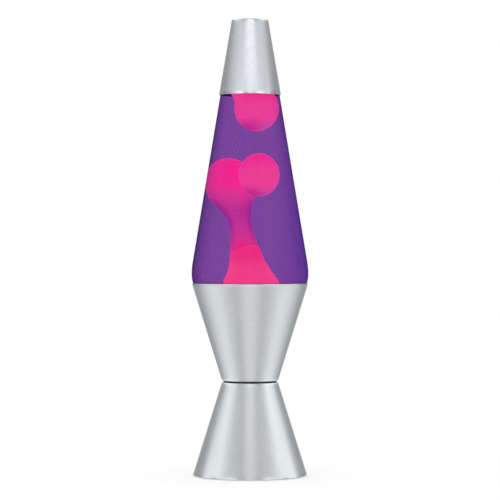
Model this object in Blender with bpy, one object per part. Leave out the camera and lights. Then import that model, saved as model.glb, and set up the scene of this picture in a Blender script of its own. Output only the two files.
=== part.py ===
"""Liquid motion lamp, modelled as the separate pieces that it comes apart into.

Run it with: blender --background --python part.py
Lengths below are in millimetres and become metres as each mesh is made. +Z is up, the lamp
stands on Z = 0 with its axis on X = Y = 0, and its front faces -Y.
"""

import math

import bmesh
import bpy
from mathutils import Matrix, Vector

MM = 0.001
FIT = 0.3  # gap kept between two pieces that touch in the real lamp
SIDES = 40  # facets round the large turned pieces
SMALL_SIDES = 16  # facets round the small ones
CUTTER_TURN = 0.13  # radians that keep a round cutter's corners off the facets' edges

# Base: two spun cones, mouth to mouth at the waist
METAL_WALL = 0.7
LOWER_RIM_Z = 0.8
LOWER_RIM_R = 46.05
LOWER_SLOPE = 0.313  # radius lost per unit of height
WAIST_Z = 75.6  # top face of the lower cone's flange
GASKET_THICKNESS = 0.6
UPPER_FLANGE_Z = WAIST_Z + FIT + GASKET_THICKNESS + FIT
UPPER_RIM_Z = 155.3
UPPER_RIM_R = 47.0
UPPER_SLOPE = 0.3096
WAIST_BORE_R = 14.0
CLAMP_R = 18.0  # distance of the clamp screws from the axis

# Glass bottle
BOTTLE_WALL = 1.5
BOTTLE_FOOT_Z = 126.0
BELLY_R = 47.2
BELLY_Z = 162.8
BELLY_LOW_ARC = 24.0
BELLY_LOW_ANGLE = math.radians(22.0)
BELLY_HIGH_ARC = 60.0
BELLY_HIGH_ANGLE = math.radians(9.43)
SHOULDER_Z = 312.0
NECK_R = 13.0
NECK_BORE_R = 9.5
MOUTH_Z = 346.6
FILL_Z = 312.5  # surface of the liquid

# Cap
CAP_BOTTOM_Z = 307.4
CAP_BOTTOM_R = 25.1
CAP_TOP_Z = 368.3
CAP_SLOPE = 0.17

# Lampholder and bulb
HOLDER_R = 12.5
HOLDER_BOTTOM_Z = 50.3
HOLDER_TOP_Z = 80.5
HOLDER_BORE_R = 10.4
HOLDER_FLOOR_Z = 58.0
NIPPLE_R = 4.2
NIPPLE_BORE_R = 3.1
BULB_TIP_Z = 60.0
BULB_TOP_Z = 118.7
BULB_R = 17.5
BULB_SHELL_R = 8.35

# Closing plate and feet
PLATE_BOTTOM_Z = 1.8
PLATE_THICKNESS = 2.0
PLATE_R = 44.0
FOOT_CIRCLE_R = 37.5
LUG_CIRCLE_R = 37.5
LUG_ANGLES = [math.radians(a) for a in (30.0, 150.0, 270.0)]
FOOT_ANGLES = [math.radians(a) for a in (45.0, 135.0, 225.0, 315.0)]
INLET_Z = 14.0

# Fasteners
M3_R = 1.5
M3_CLEARANCE_R = M3_R + FIT


# ---------------------------------------------------------------- materials


def linear(channel):
    """One sRGB channel, 0 to 255, as the linear value that a shader takes."""
    c = channel / 255.0
    return c / 12.92 if c <= 0.04045 else ((c + 0.055) / 1.055) ** 2.4


def make_material(name, rgb, roughness, metallic=0.0, alpha=1.0, transmission=0.0):
    """A Principled material from an sRGB colour."""
    material = bpy.data.materials.new(name)
    material.use_nodes = True
    shader = material.node_tree.nodes["Principled BSDF"]
    shader.inputs["Base Color"].default_value = (*[linear(c) for c in rgb], 1.0)
    shader.inputs["Roughness"].default_value = roughness
    shader.inputs["Metallic"].default_value = metallic
    shader.inputs["Alpha"].default_value = alpha
    shader.inputs["Transmission Weight"].default_value = transmission
    return material


def make_palette():
    """Every finish of the lamp, by name."""
    return {
        "cap_metal": make_material("cap_metal", (206, 207, 212), 0.35, 1.0),
        "cone_metal": make_material("cone_metal", (200, 201, 205), 0.42, 1.0),
        "bottle_glass": make_material("bottle_glass", (250, 250, 252), 0.03, alpha=0.35, transmission=0.9),
        "liquid": make_material("liquid", (119, 69, 155), 0.05, alpha=0.55, transmission=0.5),
        "wax": make_material("wax", (237, 60, 146), 0.35),
        "steel": make_material("steel", (176, 178, 182), 0.35, 1.0),
        "brass": make_material("brass", (196, 160, 92), 0.3, 1.0),
        "phenolic": make_material("phenolic", (40, 36, 34), 0.45),
        "plate_plastic": make_material("plate_plastic", (28, 28, 30), 0.5),
        "rubber": make_material("rubber", (34, 34, 36), 0.8),
        "liner": make_material("liner", (225, 225, 220), 0.6),
        "bulb_glass": make_material("bulb_glass", (245, 243, 238), 0.1, alpha=0.4, transmission=0.8),
        "tungsten": make_material("tungsten", (255, 214, 150), 0.4, 0.5),
    }


# ---------------------------------------------------------------- mesh helpers


def add_object(name, bm, material, parent, location=(0, 0, 0), rotation=None):
    """Closes a bmesh into a smooth-shaded object under an empty. The location is in millimetres."""
    bmesh.ops.recalc_face_normals(bm, faces=bm.faces)
    mesh = bpy.data.meshes.new(name)
    bm.to_mesh(mesh)
    bm.free()
    mesh.shade_smooth()
    mesh.set_sharp_from_angle(angle=math.radians(35.0))
    obj = bpy.data.objects.new(name, mesh)
    bpy.context.scene.collection.objects.link(obj)
    obj.location = Vector(location) * MM
    if rotation is not None:
        obj.rotation_euler = rotation
    obj.parent = parent
    if material is not None:
        mesh.materials.append(material)
    return obj


def loft(rings, closed):
    """A mesh through rings of points in millimetres. A ring of one point is a pole.

    A closed loft joins its last ring to its first, as a tube's wall does.
    """
    bm = bmesh.new()
    loops = [[bm.verts.new(Vector(p) * MM) for p in ring] for ring in rings]
    pairs = list(zip(loops, loops[1:]))
    if closed:
        pairs.append((loops[-1], loops[0]))
    for low, high in pairs:
        count = max(len(low), len(high))
        for k in range(count):
            m = (k + 1) % count
            if len(low) == 1 and len(high) == 1:
                break
            if len(low) == 1:
                bm.faces.new((low[0], high[m], high[k]))
            elif len(high) == 1:
                bm.faces.new((low[k], low[m], high[0]))
            else:
                bm.faces.new((low[k], low[m], high[m], high[k]))
    return bm


def turned(profile, sides=SIDES, phase=0.0):
    """A mesh turned about Z from (radius, height) points.

    The profile is a list, or a function of the angle for a piece that is crimped or toothed.
    One that starts and ends on the axis is a solid; any other is a closed loop, so a ring.
    """
    angles = [phase + 2 * math.pi * k / sides for k in range(sides)]
    profiles = [profile(a) if callable(profile) else profile for a in angles]
    rings = []
    for i, (radius, height) in enumerate(profiles[0]):
        if radius == 0:
            rings.append([(0, 0, height)])
        else:
            rings.append(
                [(p[i][0] * math.cos(a), p[i][0] * math.sin(a), p[i][1]) for p, a in zip(profiles, angles)]
            )
    return loft(rings, closed=len(rings[0]) > 1)


def strap(path, thickness, width):
    """A bent strip: a path of (x, z) points given a thickness, mitred at the bends, and a width along Y."""
    points = [Vector(p) for p in path]
    sides = []
    for i, point in enumerate(points):
        before = (points[i] - points[i - 1]).normalized() if i else None
        after = (points[i + 1] - points[i]).normalized() if i + 1 < len(points) else None
        before = before or after
        after = after or before
        tangent = (before + after).normalized()
        normal = Vector((-tangent.y, tangent.x))
        reach = thickness / 2 / max(tangent.dot(after), 0.2)
        sides.append((point + normal * reach, point - normal * reach))
    rings = []
    for left, right in sides:
        rings.append(
            [(left.x, -width / 2, left.y), (right.x, -width / 2, right.y),
             (right.x, width / 2, right.y), (left.x, width / 2, left.y)]
        )
    bm = loft(rings, closed=False)
    bm.verts.ensure_lookup_table()
    bm.faces.new(bm.verts[:4])
    bm.faces.new(bm.verts[-4:])
    return bm


def tube_along(points, radius, sides=6):
    """A round wire with flat ends through points in millimetres."""
    rings = []
    path = [Vector(p) for p in points]
    for i, point in enumerate(path):
        ahead = path[min(i + 1, len(path) - 1)]
        behind = path[max(i - 1, 0)]
        turn = (ahead - behind).to_track_quat("Z", "Y").to_matrix()
        ring = []
        for k in range(sides):
            angle = 2 * math.pi * k / sides
            ring.append(point + turn @ Vector((radius * math.cos(angle), radius * math.sin(angle), 0)))
        rings.append(ring)
    bm = loft(rings, closed=False)
    bm.verts.ensure_lookup_table()
    bm.faces.new(bm.verts[:sides])
    bm.faces.new(bm.verts[-sides:])
    return bm


def add_cylinder_to(bm, centre, radius, length, axis="Z", sides=16):
    """Adds a plain cylinder, in millimetres, to a bmesh of cutters."""
    turn = {"X": Matrix.Rotation(math.pi / 2, 4, "Y"), "Y": Matrix.Rotation(math.pi / 2, 4, "X"), "Z": Matrix()}
    place = Matrix.Translation(Vector(centre) * MM) @ turn[axis] @ Matrix.Rotation(CUTTER_TURN, 4, "Z")
    bmesh.ops.create_cone(
        bm, cap_ends=True, segments=sides, radius1=radius * MM, radius2=radius * MM, depth=length * MM, matrix=place
    )


def add_box_to(bm, centre, size, angle=0.0):
    """Adds a box, in millimetres, turned about Z, to a bmesh of cutters."""
    place = Matrix.Rotation(angle, 4, "Z") @ Matrix.Translation(Vector(centre) * MM)
    bmesh.ops.create_cube(bm, size=1.0, matrix=place @ Matrix.Diagonal((*(Vector(size) * MM), 1.0)))


def cut(obj, bm, name):
    """Takes a bmesh of cutters away from an object. The cutter moves with the object."""
    cutter = add_object(name, bm, None, obj)
    cutter.hide_render = True
    cutter.display_type = "WIRE"
    modifier = obj.modifiers.new(name, "BOOLEAN")
    modifier.operation = "DIFFERENCE"
    modifier.solver = "EXACT"
    modifier.object = cutter
    return cutter


def make_screw(name, material, parent, location, rotation, head_r, head_height, shank_length):
    """A slotted pan-head M3 screw. Its head's underside is at the location and its shank points to -Z."""
    profile = [
        (0, head_height),
        (head_r * 0.6, head_height),
        (head_r, head_height * 0.5),
        (head_r, 0),
        (M3_R, 0),
        (M3_R, 0.5 - shank_length),
        (M3_R - 0.4, -shank_length),
        (0, -shank_length),
    ]
    screw = add_object(name, turned(profile, 16), material, parent, location, rotation)
    slot = bmesh.new()
    add_box_to(slot, (0, 0, head_height), (2.2 * head_r, 0.8, 0.9))
    cut(screw, slot, name + "_slot")
    return screw


def make_hex_nut(name, material, parent, location, across_flats, height, bore_r):
    """A hexagonal nut whose lower face is at the location and whose flats face +X and -X."""
    corner_r = across_flats / 2 / math.cos(math.pi / 6)
    profile = [(0, 0), (corner_r, 0), (corner_r, height), (0, height)]
    nut = add_object(name, turned(profile, 6, math.pi / 6), material, parent, location)
    bore = bmesh.new()
    add_cylinder_to(bore, (0, 0, height / 2), bore_r, height + 2)
    cut(nut, bore, name + "_bore")
    return nut


# ---------------------------------------------------------------- base


def lower_cone_r(height):
    """Outer radius of the lower cone."""
    return LOWER_RIM_R - LOWER_SLOPE * (height - LOWER_RIM_Z)


def upper_cone_r(height):
    """Outer radius of the upper cone."""
    return UPPER_RIM_R - UPPER_SLOPE * (UPPER_RIM_Z - height)


def clamp_holes(z):
    """Cutters for the two clamp screws through a flange at height z."""
    holes = bmesh.new()
    for x in (-CLAMP_R, CLAMP_R):
        add_cylinder_to(holes, (x, 0, z), M3_CLEARANCE_R, 4.0)
    return holes


def inlet_frame():
    """Rotation that turns +Z to the lower cone's outward normal at the back, where the cord enters."""
    return (-math.pi / 2 + math.atan(LOWER_SLOPE), 0, 0)


def inlet_centre():
    """Middle of the cone's wall at the cord inlet."""
    return (0, lower_cone_r(INLET_Z) - METAL_WALL / 2, INLET_Z)


def make_cones(palette, base):
    """The two spun cones, each with a flange turned in at the waist, and the gasket between them."""
    skin = METAL_WALL * math.hypot(1, LOWER_SLOPE)
    top_r = lower_cone_r(WAIST_Z)
    lower = [
        (LOWER_RIM_R - 0.6, LOWER_RIM_Z),
        (LOWER_RIM_R - 0.1, LOWER_RIM_Z + 0.25),
        (lower_cone_r(WAIST_Z - 0.9), WAIST_Z - 0.9),
        (top_r - 0.2, WAIST_Z - 0.2),
        (top_r - 0.7, WAIST_Z),
        (WAIST_BORE_R, WAIST_Z),
        (WAIST_BORE_R, WAIST_Z - METAL_WALL),
        (lower_cone_r(WAIST_Z - METAL_WALL) - skin, WAIST_Z - METAL_WALL),
        (LOWER_RIM_R - skin, LOWER_RIM_Z),
    ]
    lower_cone = add_object("lower_cone", turned(lower), palette["cone_metal"], base)
    cut(lower_cone, clamp_holes(WAIST_Z), "lower_clamp_holes")
    inlet = bmesh.new()
    add_cylinder_to(inlet, (0, 0, 0), 5.3, 8.0, sides=18)
    hole = cut(lower_cone, inlet, "inlet_hole")
    hole.location = Vector(inlet_centre()) * MM
    hole.rotation_euler = inlet_frame()

    foot = UPPER_FLANGE_Z
    upper = [
        (UPPER_RIM_R - 0.1, UPPER_RIM_Z),
        (UPPER_RIM_R, UPPER_RIM_Z - 0.35),
        (upper_cone_r(foot + 3.5), foot + 3.5),
        (upper_cone_r(foot + 1.8) - 0.2, foot + 1.8),
        (upper_cone_r(foot) - 0.35, foot + 0.6),
        (upper_cone_r(foot) - 1.2, foot),
        (WAIST_BORE_R, foot),
        (WAIST_BORE_R, foot + METAL_WALL),
        (upper_cone_r(foot) - 1.6, foot + METAL_WALL),
        (upper_cone_r(foot + 3.5) - skin, foot + 3.5),
        (UPPER_RIM_R - skin, UPPER_RIM_Z),
    ]
    upper_cone = add_object("upper_cone", turned(upper), palette["cone_metal"], base)
    cut(upper_cone, clamp_holes(foot), "upper_clamp_holes")

    low = WAIST_Z + FIT
    high = low + GASKET_THICKNESS
    ring = [(21.6, low), (21.6, high), (WAIST_BORE_R + 0.3, high), (WAIST_BORE_R + 0.3, low)]
    gasket = add_object("waist_gasket", turned(ring), palette["rubber"], base)
    cut(gasket, clamp_holes(low), "gasket_clamp_holes")


def make_holder(palette, base):
    """The lampholder, the strap that carries it, and the nipple, washer and nut between the two."""
    nipple_hole_r = NIPPLE_R + FIT
    body = [
        (nipple_hole_r, HOLDER_BOTTOM_Z),
        (HOLDER_R - 0.6, HOLDER_BOTTOM_Z),
        (HOLDER_R, HOLDER_BOTTOM_Z + 0.6),
        (HOLDER_R, HOLDER_TOP_Z - 0.5),
        (HOLDER_R - 0.5, HOLDER_TOP_Z),
        (HOLDER_BORE_R, HOLDER_TOP_Z),
        (HOLDER_BORE_R, HOLDER_FLOOR_Z),
        (2.2, HOLDER_FLOOR_Z),
        (2.2, HOLDER_BOTTOM_Z + 4.3),
        (nipple_hole_r, HOLDER_BOTTOM_Z + 4.3),
    ]
    holder = add_object("holder_body", turned(body, 24), palette["phenolic"], base)
    wells = bmesh.new()
    terminal_z = 55.4
    for side in (-1, 1):
        add_cylinder_to(wells, (0, side * 11.0, terminal_z), M3_CLEARANCE_R, 6.4, "Y")
    cut(holder, wells, "terminal_wells")
    for number, side in enumerate((-1, 1), 1):
        place = (0, side * (HOLDER_R + FIT), terminal_z)
        turn = (side * -math.pi / 2, 0, 0)
        make_screw(f"terminal_screw_{number}", palette["brass"], base, place, turn, 2.6, 1.4, 4.0)

    thread = threaded_shell(9.7, 0.5, 0.35, 62.5, 77.5, 4)
    add_object("holder_screw_shell", turned(thread, SMALL_SIDES), palette["brass"], base)
    tongue = [(-7.5, 58.5), (-3.0, 58.5), (-1.4, 59.45), (1.6, 59.45), (4.2, 58.7)]
    add_object("holder_centre_contact", strap(tongue, 0.35, 4.0), palette["brass"], base)

    floor_z = 49.5
    leg_x = 14.2
    ear_z = WAIST_Z - METAL_WALL - FIT - 0.5
    path = [(-20.6, ear_z), (-leg_x, ear_z), (-leg_x, floor_z), (leg_x, floor_z), (leg_x, ear_z), (20.6, ear_z)]
    bracket = add_object("holder_bracket", strap(path, 1.0, 12.0), palette["steel"], base)
    holes = clamp_holes(ear_z)
    add_cylinder_to(holes, (0, 0, floor_z), nipple_hole_r, 4.0)
    cut(bracket, holes, "bracket_holes")

    low, high = 43.6, HOLDER_BOTTOM_Z + 4.0
    pipe = [
        (NIPPLE_R - 0.4, low),
        (NIPPLE_R, low + 0.4),
        (NIPPLE_R, high - 0.4),
        (NIPPLE_R - 0.4, high),
        (NIPPLE_BORE_R, high),
        (NIPPLE_BORE_R, low),
    ]
    add_object("holder_nipple", turned(pipe, SMALL_SIDES), palette["steel"], base)

    def toothed(angle):
        """Section of the lock washer: every second facet reaches in as a tooth."""
        tooth = math.cos(12 * angle) > 0
        inner = NIPPLE_R + (FIT if tooth else 1.3)
        return [(8.2, 48.0), (8.2, 48.7), (inner, 48.7), (inner, 48.0)]

    add_object("nipple_lock_washer", turned(toothed, 24, math.radians(0.1)), palette["steel"], base)
    make_hex_nut("nipple_nut", palette["steel"], base, (0, 0, 44.6), 14.0, 3.1, NIPPLE_R + FIT)


def threaded_shell(radius, depth, wall, low, high, turns):
    """Section of a thin tube rolled into rounded thread rings. The rings stand in for the helix."""
    steps = 2 * turns
    outside = []
    for k in range(steps + 1):
        crest = radius if k % 2 else radius - depth
        outside.append((crest, low + (high - low) * k / steps))
    inside = [(r - wall, z) for r, z in reversed(outside)]
    return outside + inside


def make_clamps(palette, base):
    """The two screws and nuts that hold both cones, the gasket and the bracket together."""
    head_z = UPPER_FLANGE_Z + METAL_WALL + FIT
    nut_height = 2.4
    nut_z = WAIST_Z - METAL_WALL - FIT - 1.0 - FIT - nut_height
    for number, x in enumerate((-CLAMP_R, CLAMP_R), 1):
        make_screw(f"clamp_screw_{number}", palette["steel"], base, (x, 0, head_z), None, 2.7, 1.8, 8.4)
        make_hex_nut(f"clamp_nut_{number}", palette["steel"], base, (x, 0, nut_z), 5.5, nut_height, M3_CLEARANCE_R)


def make_closing_plate(palette, base):
    """The vented plate under the lower cone, its lugs and screws, and the rubber feet."""
    low = PLATE_BOTTOM_Z
    high = low + PLATE_THICKNESS
    disc = [
        (0, low),
        (PLATE_R - 0.4, low),
        (PLATE_R, low + 0.4),
        (PLATE_R, high),
        (27.5, high),
        (27.5, high + 2.2),
        (26.0, high + 2.2),
        (26.0, high),
        (0, high),
    ]
    plate = add_object("base_plate", turned(disc), palette["plate_plastic"], base)
    openings = bmesh.new()
    middle = (low + high) / 2
    for k in range(10):
        add_box_to(openings, (17.0, 0, middle), (12.0, 2.6, 8.0), 2 * math.pi * k / 10)
    for angle in LUG_ANGLES:
        place = (LUG_CIRCLE_R * math.cos(angle), LUG_CIRCLE_R * math.sin(angle), middle)
        add_cylinder_to(openings, place, M3_CLEARANCE_R, 8.0, sides=12)
    for angle in FOOT_ANGLES:
        place = (FOOT_CIRCLE_R * math.cos(angle), FOOT_CIRCLE_R * math.sin(angle), middle)
        add_cylinder_to(openings, place, 2.2, 8.0, sides=12)
    cut(plate, openings, "plate_openings")

    lug_low = high + FIT + 0.5
    leg_gap = METAL_WALL + FIT + 0.8
    wall_low = lower_cone_r(lug_low) - leg_gap
    wall_high = lower_cone_r(16.0) - leg_gap
    for number, angle in enumerate(LUG_ANGLES, 1):
        path = [(33.5, lug_low), (wall_low, lug_low), (wall_high, 16.0)]
        lug = add_object(f"plate_lug_{number}", strap(path, 1.0, 8.0), palette["steel"], base)
        lug.rotation_euler = (0, 0, angle)
        hole = bmesh.new()
        add_cylinder_to(hole, (LUG_CIRCLE_R, 0, lug_low), M3_CLEARANCE_R, 4.0, sides=12)
        cut(lug, hole, f"lug_hole_{number}")
        place = (LUG_CIRCLE_R * math.cos(angle), LUG_CIRCLE_R * math.sin(angle), low - FIT)
        make_screw(f"plate_screw_{number}", palette["steel"], base, place, (math.pi, 0, angle), 2.7, 1.1, 7.2)

    foot = [
        (0, 0),
        (4.4, 0),
        (5.0, 0.5),
        (5.0, low - FIT),
        (1.9, low - FIT),
        (1.9, high + 0.4),
        (1.3, high + 1.6),
        (0, high + 1.6),
    ]
    for number, angle in enumerate(FOOT_ANGLES, 1):
        place = (FOOT_CIRCLE_R * math.cos(angle), FOOT_CIRCLE_R * math.sin(angle), 0)
        add_object(f"rubber_foot_{number}", turned(foot, 16), palette["rubber"], base, place)


def make_inlet(palette, base):
    """The grommet that lines the cord's way through the back of the lower cone."""
    half_wall = METAL_WALL / 2 + FIT
    bore_r = 4.2
    section = [
        (bore_r, 2.2),
        (6.8, 2.2),
        (7.4, 1.5),
        (7.4, half_wall),
        (5.0, half_wall),
        (5.0, -half_wall - 0.5),
        (6.4, -half_wall - 0.5),
        (6.4, -half_wall - 1.7),
        (bore_r, -half_wall - 1.7),
    ]
    add_object("cord_grommet", turned(section, SMALL_SIDES), palette["rubber"], base, inlet_centre(), inlet_frame())


# ---------------------------------------------------------------- bulb


def make_bulb(palette, bulb):
    """The bulb: envelope, screw shell, insulator, tip contact, stem, filament and lead wires."""
    equator_z = BULB_TOP_Z - BULB_R - 3.0
    neck_r, neck_top_z = 7.2, 80.6
    outside = [(neck_r, 70.0), (neck_r, neck_top_z)]
    for k in range(1, 4):
        t = k / 4
        ease = t * t * (3 - 2 * t)
        outside.append((neck_r + (BULB_R - neck_r) * ease, neck_top_z + (equator_z - neck_top_z) * t))
    dome = BULB_TOP_Z - equator_z
    for k in range(5):
        angle = math.pi / 2 * k / 5
        outside.append((BULB_R * math.cos(angle), equator_z + dome * math.sin(angle)))
    wall = 0.7
    inside = [(r - wall, min(z, BULB_TOP_Z - wall)) for r, z in outside]
    section = outside + [(0, BULB_TOP_Z), (0, BULB_TOP_Z - wall)] + inside[::-1]
    add_object("bulb_envelope", turned(section, 24), palette["bulb_glass"], bulb)

    shell = threaded_shell(BULB_SHELL_R, 0.45, 0.3, 65.0, 79.6, 5)
    add_object("bulb_screw_shell", turned(shell, SMALL_SIDES), palette["brass"], bulb)
    insulator = [(0, 62.2), (3.0, 62.2), (6.9, 64.7), (6.9, 66.0), (0, 66.0)]
    add_object("bulb_insulator", turned(insulator, SMALL_SIDES), palette["phenolic"], bulb)
    tip = [(0, BULB_TIP_Z), (1.4, BULB_TIP_Z + 0.2), (2.4, BULB_TIP_Z + 1.1), (2.4, 61.9), (0, 61.9)]
    add_object("bulb_tip_contact", turned(tip, 12), palette["brass"], bulb)

    stem = [(0, 71.0), (6.1, 71.0), (6.1, 71.8), (2.6, 76.0), (2.0, 86.0), (1.0, 88.0), (0, 88.0)]
    add_object("bulb_stem", turned(stem, 12), palette["bulb_glass"], bulb)
    for number, side in enumerate((-1, 1), 1):
        path = [(side * 1.0, 0, 88.3), (side * 3.4, 0, 93.5), (side * 6.2, 0, 99.4)]
        add_object(f"bulb_lead_wire_{number}", tube_along(path, 0.35), palette["steel"], bulb)
    arc = []
    for k in range(9):
        angle = math.pi * (0.12 + 0.76 * k / 8)
        arc.append((6.6 * math.cos(angle), 0, 98.0 + 4.2 * math.sin(angle)))
    add_object("bulb_filament", tube_along(arc, 0.4), palette["tungsten"], bulb)


# ---------------------------------------------------------------- globe


def belly_arc(offset):
    """Points of the bottle's belly, low to high, moved in by an offset along the normal."""
    points = []
    for k in range(3, 0, -1):
        angle = BELLY_LOW_ANGLE * k / 3
        arc = BELLY_LOW_ARC - offset
        points.append((BELLY_R - BELLY_LOW_ARC + arc * math.cos(angle), BELLY_Z - arc * math.sin(angle)))
    for k in range(3):
        angle = BELLY_HIGH_ANGLE * k / 2
        arc = BELLY_HIGH_ARC - offset
        points.append((BELLY_R - BELLY_HIGH_ARC + arc * math.cos(angle), BELLY_Z + arc * math.sin(angle)))
    return points


def upper_taper_r(height, offset=0.0):
    """Radius of the bottle's straight upper taper."""
    top_r, top_z = belly_arc(offset)[-1]
    return top_r - math.tan(BELLY_HIGH_ANGLE) * (height - top_z)


def bottle_inside(gap=0.0):
    """The bottle's inner surface from the middle of its floor to the shoulder, moved in by a gap."""
    offset = BOTTLE_WALL + gap
    floor = [(0, 132.7 + gap), (14.0, 132.4 + gap), (24.0, 130.3 + gap), (30.0, 130.5 + gap)]
    corner = [(33.2 - gap, 131.8 + gap), (35.2 - gap, 134.4 + gap)]
    return floor + corner + belly_arc(offset) + [(upper_taper_r(SHOULDER_Z, offset), SHOULDER_Z)]


def inner_radius(height, gap):
    """Radius of the bottle's inner surface at a height, moved in by a gap."""
    points = bottle_inside(gap)[3:]
    for (r0, z0), (r1, z1) in zip(points, points[1:]):
        if z0 <= height <= z1:
            return r0 + (r1 - r0) * (height - z0) / (z1 - z0)
    return points[0][0] if height < points[0][1] else points[-1][0]


def make_bottle(palette, globe):
    """The glass bottle, its crown closure and the liner under it."""
    outside = [(0, 129.4), (14.0, 129.0), (24.0, 126.6), (26.5, BOTTLE_FOOT_Z), (31.5, BOTTLE_FOOT_Z)]
    outside += [(34.4, 127.0), (35.9, 130.2)]
    outside += belly_arc(0.0)
    outside += [(upper_taper_r(SHOULDER_Z), SHOULDER_Z), (22.5, 316.0), (20.6, 320.2), (16.6, 324.4)]
    outside += [(NECK_R, 330.0), (NECK_R, 340.8), (13.4, 341.6), (13.4, 345.6), (12.4, MOUTH_Z)]
    inside = bottle_inside()[::-1]
    throat = [(NECK_BORE_R + 0.6, MOUTH_Z), (NECK_BORE_R, 345.8), (NECK_BORE_R, 329.0)]
    throat += [(13.6, 323.2), (18.4, 318.8), (20.8, 315.2)]
    add_object("bottle", turned(outside + throat + inside), palette["bottle_glass"], globe)

    def crimped(angle):
        """Section of the crown closure, whose skirt is pleated."""
        pleat = 0.35 * math.cos(21 * angle)
        return [
            (0, 348.2), (12.6, 348.2), (14.5, 347.2), (15.0, 345.4), (15.7 + pleat, 342.4),
            (15.2 + pleat, 342.2), (14.5, 345.2), (14.0, 346.9), (12.4, 347.7), (0, 347.7),
        ]

    add_object("crown_closure", turned(crimped, 42), palette["steel"], globe)
    liner = [(0, 346.9), (12.0, 346.9), (12.0, 347.4), (0, 347.4)]
    add_object("crown_liner", turned(liner, 24), palette["liner"], globe)


# Standing wax above its pool, low to high: height, middle (x, y), half width, half depth, turn in degrees
WAX_STATIONS = [
    (151.0, 1.3, 0.0, 30.0, 30.0, 0),
    (157.0, 0.9, 0.0, 22.2, 22.0, 0),
    (161.2, 0.4, 0.2, 20.0, 19.6, 0),
    (166.1, -0.5, 0.4, 17.3, 16.8, 0),
    (175.8, -2.6, 1.2, 13.7, 13.0, 0),
    (187.2, -4.9, 2.2, 11.1, 10.4, 0),
    (196.9, -6.5, 3.4, 9.5, 9.2, 0),
    (206.6, -8.6, 4.6, 10.0, 9.1, 0),
    (212.0, -10.6, 5.4, 11.8, 9.4, 4),
    (216.3, -12.3, 6.2, 14.1, 9.9, 7),
    (221.0, -13.6, 7.0, 16.8, 10.5, 10),
    (226.0, -14.0, 7.8, 18.6, 11.0, 12),
    (241.0, -14.0, 8.3, 18.2, 11.3, 12),
    (248.0, -14.0, 8.3, 15.0, 9.8, 12),
    (253.6, -14.6, 8.3, 9.6, 6.6, 12),
]
WAX_TOP = (-15.6, 8.3, 256.8)
POOL_FLOOR_Z = 133.2
POOL_TOP_Z = 148.5
COIL_R = 25.0
COIL_WIRE_R = 1.8
COIL_Z = 132.4
FRONT_BLOB = ((7.4, -15.5, 242.9), (16.4, 13.5, 17.5))  # middle and half axes
TOP_BLOB = ((5.0, -1.0, 296.7), (17.5, 17.0, 18.8))


def wax_ring(station, margin, count=16):
    """One oval ring of the standing wax, grown by a margin."""
    height, x, y, half_x, half_y, degrees = station
    turn = math.radians(degrees)
    ring = []
    for k in range(count):
        angle = 2 * math.pi * k / count
        u = (half_x + margin) * math.cos(angle)
        v = (half_y + margin) * math.sin(angle)
        ring.append((x + u * math.cos(turn) - v * math.sin(turn), y + u * math.sin(turn) + v * math.cos(turn), height))
    return ring


def pool_station(height, gap):
    """The pool's round outline at a height, a gap inside the glass."""
    return (height, 0.0, 0.0, inner_radius(height, gap), inner_radius(height, gap), 0)


def standing_wax(margin, pool):
    """The standing wax from its pool up. A margin grows the surface that the liquid touches."""
    rings = [wax_ring(station, 0.0) for station in pool]
    rings += [wax_ring(station, margin) for station in WAX_STATIONS]
    x, y, z = WAX_TOP
    bottom = [(0, 0, pool[0][0])]
    return loft([bottom] + rings + [[(x, y, z + margin)]], closed=False)


def ellipsoid(middle, half_axes, margin=0.0, rows=8, count=14):
    """A smooth wax blob in millimetres, grown by a margin."""
    x, y, z = middle
    a, b, c = [h + margin for h in half_axes]
    rings = [[(0, 0, -c)]]
    for row in range(1, rows):
        polar = math.pi * row / rows
        ring = []
        for k in range(count):
            angle = 2 * math.pi * k / count
            ring.append((a * math.sin(polar) * math.cos(angle), b * math.sin(polar) * math.sin(angle),
                         -c * math.cos(polar)))
        rings.append(ring)
    rings.append([(0, 0, c)])
    return loft([[(x + p[0], y + p[1], z + p[2]) for p in ring] for ring in rings], closed=False)


def make_contents(palette, globe, front, top):
    """The liquid, the standing wax, the two loose blobs and the wire coil on the floor."""
    gap = 0.5
    pool = [pool_station(z, gap) for z in (POOL_FLOOR_Z, 136.0, 142.0, POOL_TOP_Z)]
    wax = add_object("wax_column", standing_wax(0.0, pool), palette["wax"], globe)
    groove = turned(ring_section(COIL_R, COIL_Z, COIL_WIRE_R + 0.4, 10), 40)
    cut(wax, groove, "coil_groove")
    coil = turned(ring_section(COIL_R, COIL_Z, COIL_WIRE_R, 8), 40)
    add_object("wire_coil", coil, palette["steel"], globe)

    fill = [(0, POOL_TOP_Z - 4.0)]
    fill += [(inner_radius(POOL_TOP_Z - 4.0, FIT), POOL_TOP_Z - 4.0)]
    fill += [p for p in bottle_inside(FIT) if POOL_TOP_Z - 3.0 < p[1] < FILL_Z]
    fill += [(inner_radius(SHOULDER_Z, FIT) - 0.2, FILL_Z), (0, FILL_Z)]
    liquid = add_object("liquid", turned(fill), palette["liquid"], globe)
    wide = [(z, 0.0, 0.0, 52.0, 52.0, 0) for z in (POOL_TOP_Z - 8.0, POOL_TOP_Z + FIT)]
    cut(liquid, standing_wax(0.5, wide), "wax_space")
    for name, (middle, half_axes), body in (("wax_front_blob", FRONT_BLOB, front), ("wax_top_blob", TOP_BLOB, top)):
        place = Vector(middle)
        add_object(name, ellipsoid((0, 0, 0), half_axes), palette["wax"], body, place)
        cut(liquid, ellipsoid(middle, half_axes, 0.5), name + "_space")
    channel = bmesh.new()
    add_cylinder_to(channel, (-2.0, 0, 238.0), 2.0, 16.0, "Y", sides=10)
    cut(liquid, channel, "blob_channel")


def ring_section(radius, height, half, count):
    """Points of a round section, as of a ring's wire."""
    points = []
    for k in range(count):
        angle = 2 * math.pi * k / count
        points.append((radius + half * math.cos(angle), height + half * math.sin(angle)))
    return points


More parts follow.
